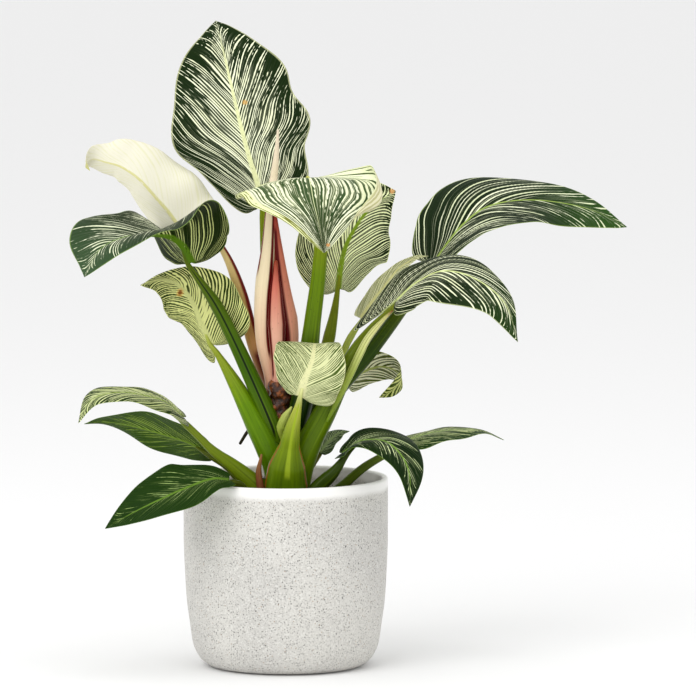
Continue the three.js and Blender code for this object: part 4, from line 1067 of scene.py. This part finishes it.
# %% Looks of the stalks
STALK_LOOKS = {
    "leaf_top": dict(stops=[(0.0, (99, 123, 8)), (0.5, (91, 118, 6)), (1.0, (122, 134, 12))]),
    "leaf_new_cream": dict(stops=[(0.0, (190, 140, 110)), (0.06, (150, 92, 76)),
        (0.3, (190, 140, 84)), (0.7, (206, 182, 122)), (1.0, (224, 206, 150))],
        lines=[(0.12, 0.36, (84, 6, 8), 0.03, 0.26), (0.32, 0.2, (100, 10, 12), 0.1, 0.94)],
        streaks=0.2),
    "leaf_saddle_left": dict(stops=[(0.0, (80, 108, 6)), (0.4, (63, 99, 4)), (0.75, (70, 94, 6)),
        (1.0, (91, 108, 10))], lines=[(0.0, 0.05, (17, 29, 2), 0.05, 0.92)]),
    "leaf_pale_left": dict(stops=[(0.0, (80, 116, 2)), (0.5, (98, 136, 3)), (0.85, (146, 160, 40)),
        (1.0, (182, 190, 90))]),
    # its dark lower part is painted shade, where it runs in shadow behind leaf_small_front's blade
    "leaf_front_arched": dict(stops=[(0.0, (24, 48, 4)), (0.3, (26, 50, 4)), (0.42, (88, 116, 2)),
        (0.6, (102, 132, 3)), (0.84, (150, 160, 30)), (0.93, (224, 222, 120)),
        (1.0, (196, 202, 96))], flecks=0.4),
    "leaf_behind_right": dict(stops=[(0.0, (87, 99, 8)), (0.5, (95, 111, 8)),
        (1.0, (114, 124, 12))], lines=[(-0.5, 0.16, (92, 58, 40), 0.4, 0.72)]),
    # darker for most of its length: painted shade, where it runs in the shadow of leaves in front
    "leaf_long_right": dict(stops=[(0.0, (44, 68, 4)), (0.5, (42, 66, 4)), (1.0, (91, 104, 14))]),
    "leaf_drooping_right": dict(stops=[(0.0, (91, 119, 5)), (0.45, (84, 111, 5)),
        (0.75, (98, 112, 14)), (1.0, (132, 142, 44))]),
    "leaf_narrow_right": dict(stops=[(0.0, (114, 128, 24)), (1.0, (168, 180, 84))]),
    "leaf_small_front": dict(stops=[(0.0, (56, 84, 2)), (0.35, (84, 112, 4)),
        (0.62, (116, 138, 14)), (0.85, (170, 178, 70)), (1.0, (220, 222, 156))],
        # the first line, along its front, is a painted highlight; the two brown lines are the
        # sheath's own edges
        lines=[(0.02, 0.06, (150, 172, 36), 0.36, 0.92), (-0.42, 0.035, (150, 82, 26), 0.12, 0.62),
        (0.42, 0.035, (150, 82, 26), 0.12, 0.62)]),
    "leaf_small_right": dict(stops=[(0.0, (91, 106, 12)), (1.0, (148, 160, 76))]),
    "leaf_small_back": dict(stops=[(0.0, (66, 77, 10)), (1.0, (91, 94, 18))]),
    "leaf_lower_right": dict(stops=[(0.0, (42, 62, 6)), (1.0, (57, 77, 9))]),
    "leaf_far_right": dict(stops=[(0.0, (61, 81, 7)), (1.0, (80, 97, 10))]),
    "leaf_arched_left": dict(stops=[(0.0, (87, 108, 8)), (0.5, (106, 126, 14)),
        (1.0, (108, 122, 36))]),
    "leaf_dark_left": dict(stops=[(0.0, (80, 92, 8)), (1.0, (80, 92, 10))]),
    "leaf_over_rim": dict(stops=[(0.0, (57, 67, 8)), (1.0, (66, 77, 9))]),
}
print(len(STALK_LOOKS), "stalk finishes listed")

# %% [markdown]
# ## Putting the leaves together
# Every leaf goes through the same steps, and only its measurements and looks differ, so one
# function and one loop make all of them. Some leaves have veins that sweep further to the tip.

# %% Build the leaves
STRIPE_RUN = {"leaf_top": dict(sweep=0.64), "leaf_behind_right": dict(sweep=0.9),
    "leaf_long_right": dict(sweep=0.7), "leaf_drooping_right": dict(sweep=0.85),
    "leaf_front_arched": dict(sweep=1.5, tilt=0.1, gather=0.1),
    "leaf_new_cream": dict(quilting=0.05)}


def build_leaf(name, seed):
    """A blade and its stalk, both in place of the leaf's plain node."""
    leaf, plain = LEAVES[name], name.replace("leaf_", "")
    skin = leaf_material(plain + "_stripes", seed, curve_length(leaf["midrib"]), LEAF_LOOKS[name])
    blade = blade_piece(plain + "_blade", leaf, skin, MIDRIBS.get(name, MIDRIB),
        **STRIPE_RUN.get(name, {}))
    stand_for(blade, name)
    route, radii = stalk_route(leaf)
    skin = stalk_material(plain + "_stalk_skin", seed, **{**STALK_LOOK, **STALK_LOOKS[name]})
    stalk = tube_piece(plain + "_stalk", route, radii, skin, groove=GROOVE)
    stand_for(stalk, name)
    return len(blade.data.polygons) + len(stalk.data.polygons)


SEEDS = {name: float(number) for number, name in enumerate(LEAF_LOOKS, start=1)}
print("leaves made of", sum(build_leaf(name, SEEDS[name]) for name in LEAVES), "triangles")

# %% [markdown]
# ## Stem, rolled leaf and sheaths
# The stem is a short brown knotty column. Above it the newest leaf is still rolled up like a
# scroll, cream coloured, and pink sheaths with dark red edges stand round it. All are tubes along
# a path, as the stalks are, so they need no function of their own.

# %% Rod table
RODS = {
    "spear_cream": dict(route=[(-11, -4, 205), (-11.5, -4, 214), (-16.5, -6, 241), (-16.5, -6, 273),
        (-13, -2, 307), (-10.5, 5.5, 343.5), (-7, 6, 372.5), (-5.5, 5, 394)],
        radii=[4, 5, 6, 6.4, 4.6, 3.4, 2.6, 0.8]),
    "sheath_inner_pink": dict(route=[(-7, -6, 209), (-5.5, -10, 216), (-6, -10, 237),
        (-7, -9, 270.5), (-7, -8, 298.5)], radii=[4, 5, 6.6, 4.6, 1.4]),
    "sheath_right_pink": dict(route=[(-4, 1, 206), (-1, 0, 214), (3, 0, 240), (-2, 0, 277),
        (-5.5, 0, 306.5), (-7.5, 0, 332)], radii=[5, 6, 7.5, 5.5, 3.6, 1.2]),
    "sheath_right_green": dict(route=[(30.5, -32, 184), (43, -31, 209.5), (53, -27.5, 230.5),
        (60.5, -25, 244.5), (70.5, -23, 256.5), (78, -23, 264)],
        radii=[1.0, 2.2, 2.9, 3.0, 2.3, 0.6]),
    "aerial_root": dict(route=[(-10.5, 1, 188.5), (-21, 4, 180), (-28, 6, 172), (-33.5, 8, 163)],
        radii=[1.6, 1.5, 1.3, 1.1]),
    "dried_sheath": dict(route=[(-17, -24, 119.5), (-18, -26, 132), (-19.5, -25, 146),
        (-17.5, -21, 158)], radii=[2.6, 3, 2.2, 0.8]),
    "membrane": dict(route=[(-2.5, -28, 170.5), (-3, -29, 178.8), (0, -31, 187.3),
        (4.5, -33, 194.3)], radii=[1.4, 3.6, 3, 0.8]),
}
STEM = dict(
    route=[(-4, 0, 96), (-5, 0, 144.5), (-5, -3, 181), (-3.5, -6, 207)],
    radii=[11, 11, 8, 9])
print(len(RODS) + 1, "rods listed")

# %% Looks of the rods
ROD_LOOKS = {
    "spear_cream": dict(stops=[(0.0, (206, 150, 124)), (0.16, (236, 196, 164)),
        (0.4, (238, 220, 184)), (0.7, (232, 216, 186)), (1.0, (230, 214, 190))],
        lines=[(-0.38, 0.09, (112, 10, 12), 0.42, 0.74), (0.24, 0.1, (92, 6, 8), 0.1, 0.72)],
        streaks=0.12, flecks=0.1),
    "sheath_inner_pink": dict(stops=[(0.0, (214, 150, 130)), (0.4, (232, 176, 152)),
        (0.8, (206, 112, 96)), (1.0, (150, 60, 40))], lines=[(-0.32, 0.1, (92, 6, 8), 0.05, 0.98),
        (0.34, 0.13, (92, 6, 8), 0.12, 0.98)], streaks=0.25),
    "sheath_right_pink": dict(stops=[(0.0, (190, 110, 90)), (0.3, (226, 160, 134)),
        (0.7, (206, 120, 100)), (1.0, (140, 40, 34))], lines=[(-0.1, 0.16, (88, 6, 8), 0.06, 0.95)],
        streaks=0.25),
    "sheath_right_green": dict(stops=[(0.0, (116, 146, 30)), (0.4, (170, 186, 84)),
        (0.72, (218, 220, 150)), (0.93, (206, 200, 130)), (1.0, (120, 66, 26))],
        lines=[(-0.24, 0.03, (120, 136, 50), 0.3, 0.96), (0.0, 0.03, (150, 160, 76), 0.3, 0.96),
        (0.3, 0.03, (120, 136, 50), 0.3, 0.96)]),
    "aerial_root": dict(stops=[(0.0, (52, 40, 30)), (1.0, (34, 28, 24))], gloss=0.7),
    "dried_sheath": dict(stops=[(0.0, (104, 50, 28)), (0.6, (126, 74, 44)), (1.0, (150, 104, 66))],
        gloss=0.6),
    "membrane": dict(stops=[(0.0, (120, 130, 40)), (0.4, (150, 166, 66)), (1.0, (196, 204, 116))],
        gloss=0.5),
}
print(len(ROD_LOOKS), "rod finishes listed")

# %% Build the rods
BARK = [(0.3, rgb(14, 7, 4)), (0.5, rgb(66, 30, 10)), (0.68, rgb(150, 80, 26))]
BARK_SCALE, BARK_RELIEF = 210.0, 0.003
STEM_LUMPS = 0.06
SEED_STEP = 1.7


def bark_material(name):
    """Three browns by a lumpy noise, dark in its pits, with a hard gloss on the lumps."""
    recipe = Recipe(name, Specular_IOR_Level=0.4)
    lumps = recipe.noise(recipe.place(), BARK_SCALE, 3.0, 0.6)
    recipe.bump(lumps, BARK_RELIEF, 0.7)
    return recipe.feed(Base_Color=recipe.ramp(lumps, BARK), Roughness=lumps * 0.3 + 0.2)


for name, rod in RODS.items():
    look = {**STALK_LOOK, **ROD_LOOKS[name]}
    skin = stalk_material(name + "_skin", seed=len(name) * SEED_STEP, **look)
    stand_for(tube_piece(name + "_form", rod["route"], rod["radii"], skin), name)
bark = bark_material("stem_bark")
stem = tube_piece("stem_form", STEM["route"], STEM["radii"], bark, lumps=STEM_LUMPS)
stand_for(stem, "stem")
print(len(RODS), "rods and the stem made")

# %% [markdown]
# ## The pot
# A pot is thrown or cast round an axis, so one profile turned about that axis gives it all. Its
# glaze is warm pale grey, matt, and full of dark grains of many sizes; the rim is left plain, in a
# near white brighter than the glaze that is partly painted light.

# %% Turn the pot
# radius and height of points up the outside
OUTSIDE = [(50, 0), (56.5, 1.2), (61.5, 4.5), (65.5, 10), (68.5, 18), (70.8, 34), (72.7, 48),
    (74, 68), (75, 95)]
POT_RADIUS, POT_HEIGHT, POT_WALL, POT_FLOOR, POT_FLOOR_RADIUS = 75, 139.5, 4, 6, 57
RIM_ROUND = 1.8
POT_SIDES = 220
OUTSIDE_RINGS, LIP_RINGS, BASE_RINGS = 90, 7, 9
PLAIN_RIM = (130.5, 136.0)  # heights at which the grains start to thin out and are gone
RIM_WAVER = 3           # how far that edge wavers
# the plain rim's white is brighter than the glaze's greys: partly painted light on the rim and the
# top of the inside wall
GREYS, RIM_LIT_WHITE = (rgb(200, 198, 193), rgb(210, 208, 202)), rgb(244, 243, 240)
CLOUD_SCALE, PITTING_SCALE, WAVER_SCALE = 16.0, 900.0, 60.0
PITS, CRESTS = (0.46, 0.3, rgb(160, 158, 154)), (0.54, 0.68, rgb(228, 227, 222))
RELIEF_SHADE, GLAZE_RELIEF = 0.8, 0.0007
# grains: points to a metre, size, share of the points left out, colour
GRAINS = ((720, 0.34, 0.62, (128, 126, 122)), (560, 0.3, 0.8, (92, 90, 86)),
    (430, 0.24, 0.88, (54, 52, 50)), (640, 0.3, 0.9, (158, 126, 92)))


def turned(name, profile, sides, material):
    """A profile of radius and height carried round the upright axis; its ends lie on the axis."""
    profile = np.asarray(profile, float)
    angle = np.linspace(0, 2 * np.pi, sides, endpoint=False)
    x = profile[:, :1] * np.sin(angle)
    y = -profile[:, :1] * np.cos(angle)
    z = profile[:, 1:] + 0 * x
    points = np.stack([x, y, z], axis=-1)
    triangles = grid_triangles(len(profile), sides, closed=True)
    patterns = {"height": z.ravel()}
    return make_piece(name, points.reshape(-1, 3), triangles, patterns, material)


def pot_profile():
    """Outside from the flat base up a smooth curve, over the round rim, and down the inside."""
    knots = np.array([*OUTSIDE[1:], (POT_RADIUS, POT_HEIGHT - RIM_ROUND)])
    outer = at_length(knots, np.linspace(0, 1, OUTSIDE_RINGS))
    outer[:, 0] = np.minimum(outer[:, 0], POT_RADIUS)
    turn = np.linspace(0, np.pi / 2, LIP_RINGS)[1:]
    lip_out = np.stack([POT_RADIUS - RIM_ROUND * (1 - np.cos(turn)),
        POT_HEIGHT - RIM_ROUND * (1 - np.sin(turn))], axis=1)
    lip_in = np.stack([POT_RADIUS - POT_WALL + RIM_ROUND * (1 - np.sin(turn)),
        POT_HEIGHT - RIM_ROUND * (1 - np.cos(turn))], axis=1)
    inner = outer[::-1] - [POT_WALL, 0]
    inner = inner[inner[:, 1] > POT_FLOOR + POT_WALL]
    floor_edge = [(POT_FLOOR_RADIUS, POT_FLOOR), (0, POT_FLOOR)]
    base = np.stack([np.linspace(0, OUTSIDE[0][0], BASE_RINGS), np.zeros(BASE_RINGS)], axis=1)
    return np.concatenate([base, outer, lip_out, lip_in, inner, floor_edge])


def pot_glaze():
    """Grains of several sizes over a warm grey ground that is itself finely mottled and pitted.
    They thin out towards the rim, which is left smooth and plain, in a near white that is partly
    painted light."""
    recipe = Recipe("speckled_glaze", Specular_IOR_Level=0.35)
    place, height = recipe.place(), recipe.number("height")
    cloud = recipe.noise(place, CLOUD_SCALE, 2.0)
    ground = recipe.noise(place, PITTING_SCALE, 2.0, 0.6)
    colour = recipe.blend(recipe.step(cloud, 0.35, 0.65), *GREYS)
    edge = recipe.noise(place, WAVER_SCALE, 2.0)
    plain = recipe.step(height + edge * RIM_WAVER, *PLAIN_RIM)
    outside = 1 - plain
    for low, high, tone in (PITS, CRESTS):
        share = recipe.step(ground, low, high) * outside * RELIEF_SHADE
        colour = recipe.blend(share, colour, tone)
    relief = ground * 0.6
    for scale, size, rarity, shade in GRAINS:
        distance, own = recipe.spots(place, scale)
        grain = 1 - recipe.step(distance, size * 0.5, size)
        grain = grain * recipe.step(own, rarity, rarity + 0.02)
        colour = recipe.blend(grain * outside, colour, rgb(*shade))
        relief = relief - grain * 0.3
    # the plain rim in near white, partly painted light
    colour = recipe.blend(plain, colour, RIM_LIT_WHITE)
    recipe.bump(relief * outside, GLAZE_RELIEF, 0.7)
    return recipe.feed(Base_Color=colour, Roughness=outside * 0.25 + 0.3)


pot = turned("pot_shell", pot_profile(), POT_SIDES, pot_glaze())
stand_for(pot, "pot")
print("pot turned with", len(pot.data.polygons), "triangles")

# %% [markdown]
# ## Soil
# Potting mix is dark, crumbly and uneven, with bark chips and white perlite on top. The ground is a
# round grid lifted by noise, and the crumbs are one small lumpy stone copied many times with
# another size, turn and place, all as one array.

# %% Lay the soil
SOIL_TOP, SOIL_SWELL, SOIL_RADIUS = 118, 3, 70.6
SOIL_FOOT = 11
WALL_GAP = 0.5
WALL_DROP = 4           # the wall's last ring stays below the top by this
GROUND_RINGS, GROUND_SIDES, WALL_RINGS = 60, 150, 16
SOIL_SEED = 7
CRUMBS = 900
CRUMB_SIZE, CRUMB_STRETCH, CRUMB_ROUGH = (0.7, 2.1), (0.5, 1.2), (0.75, 1.25)
CRUMB_MARGIN, CRUMB_LIFT = 3.5, 0.3
SOIL_BROWNS, SOIL_SCALE, SOIL_RELIEF = (rgb(34, 24, 17), rgb(92, 66, 44)), 260.0, 0.002
CHIP_BROWN, PERLITE_WHITE = rgb(120, 84, 54), rgb(226, 222, 212)
BARK_CHIPS, BARK_SHARE, PERLITE = (0.5, 0.52), 0.6, (0.93, 0.94)    # by a crumb's own number
STONE = np.array([(0, 0, 1), (1, 0, 0), (0, 1, 0), (-1, 0, 0), (0, -1, 0), (0, 0, -1)], float)
STONE_FACES = np.array([(0, 1, 2), (0, 2, 3), (0, 3, 4), (0, 4, 1), (5, 2, 1), (5, 3, 2),
    (5, 4, 3), (5, 1, 4)])


def soil_height(x, y):
    """Height of the ground: a low dome with sine ripples of several sizes crossing each other."""
    r = np.hypot(x, y) / SOIL_RADIUS
    wave = np.sin(0.21 * x + 1.3 * np.sin(0.13 * y)) + np.sin(0.19 * y + 1.7 * np.sin(0.17 * x))
    small = np.sin(0.61 * x + 2.1 * np.sin(0.43 * y)) * np.sin(0.57 * y + 1.1)
    return SOIL_TOP + SOIL_SWELL * (1 - r**2) + (0.5 * wave + 0.45 * small) * (1 - r**6)


def soil_mix():
    """Brown crumbs by noise, a few pale perlite grains, rough all over."""
    recipe = Recipe("potting_mix", Specular_IOR_Level=0.2)
    place, tone = recipe.place(), recipe.number("tone")
    grain = recipe.noise(place, SOIL_SCALE, 4.0, 0.65)
    colour = recipe.blend(recipe.step(grain, 0.3, 0.7), *SOIL_BROWNS)
    colour = recipe.blend(recipe.step(tone, *BARK_CHIPS) * BARK_SHARE, colour, CHIP_BROWN)
    colour = recipe.blend(recipe.step(tone, *PERLITE), colour, PERLITE_WHITE)
    recipe.bump(grain, SOIL_RELIEF, 0.8)
    return recipe.feed(Base_Color=colour, Roughness=grain * 0.2 + 0.8)


def ground_rings():
    """Rings from the middle of the underside up the pot's wall and over the top to its middle."""
    angle = np.linspace(0, 2 * np.pi, GROUND_SIDES, endpoint=False)
    radius = np.linspace(0, SOIL_RADIUS, GROUND_RINGS)[:, None]
    x, y = radius * np.sin(angle), -radius * np.cos(angle)
    top = np.stack([x, y, soil_height(x, y)], axis=-1)[::-1]
    heights = np.linspace(SOIL_FOOT, SOIL_TOP - WALL_DROP, WALL_RINGS)
    outside = np.array(OUTSIDE, float)
    reach = np.interp(heights, outside[:, 1], outside[:, 0]) - POT_WALL - WALL_GAP
    wall = reach[:, None, None] * np.stack([np.sin(angle), -np.cos(angle), 0 * angle], axis=1)
    wall[..., 2] = heights[:, None]
    return np.concatenate([wall[:1] * [0, 0, 1], wall, top])


def crumbs(draw):
    """Many copies of a stone with six corners, each stretched, roughened, turned about the upright
    and put on the ground: all as one array of stones, corners and coordinates."""
    spin = draw.uniform(0, 2 * np.pi, CRUMBS)
    scale = draw.uniform(*CRUMB_SIZE, (CRUMBS, 1, 1)) * draw.uniform(*CRUMB_STRETCH, (CRUMBS, 1, 3))
    lumps = STONE * scale * draw.uniform(*CRUMB_ROUGH, (CRUMBS, 6, 1))
    c, s, o = np.cos(spin), np.sin(spin), 0 * spin
    turn = np.stack([c, -s, o, s, c, o, o, o, 1 + o], axis=1).reshape(-1, 3, 3)
    lumps = np.einsum("nij,nkj->nki", turn, lumps)
    far = (SOIL_RADIUS - CRUMB_MARGIN) * np.sqrt(draw.uniform(0, 1, CRUMBS))
    way = draw.uniform(0, 2 * np.pi, CRUMBS)
    x, y = far * np.cos(way), far * np.sin(way)
    return lumps + np.stack([x, y, soil_height(x, y) + CRUMB_LIFT], axis=1)[:, None, :]


def soil_piece():
    """The ground, closed all round, and the crumbs, joined as one mesh."""
    draw = np.random.default_rng(SOIL_SEED)
    rings, stones = ground_rings(), crumbs(draw)
    count = rings.size // 3
    tone = np.concatenate([np.zeros(count), np.repeat(draw.uniform(0, 1, CRUMBS), len(STONE))])
    stone_faces = STONE_FACES + len(STONE) * np.arange(CRUMBS)[:, None, None] + count
    triangles = [grid_triangles(*rings.shape[:2], closed=True), stone_faces.reshape(-1, 3)]
    points = np.concatenate([rings.reshape(-1, 3), stones.reshape(-1, 3)])
    return make_piece("soil_mix_bed", points, np.concatenate(triangles), {"tone": tone}, soil_mix())


soil = soil_piece()
stand_for(soil, "soil")
print("soil made with", len(soil.data.polygons), "triangles")

# %% Finish
print("scene ready")
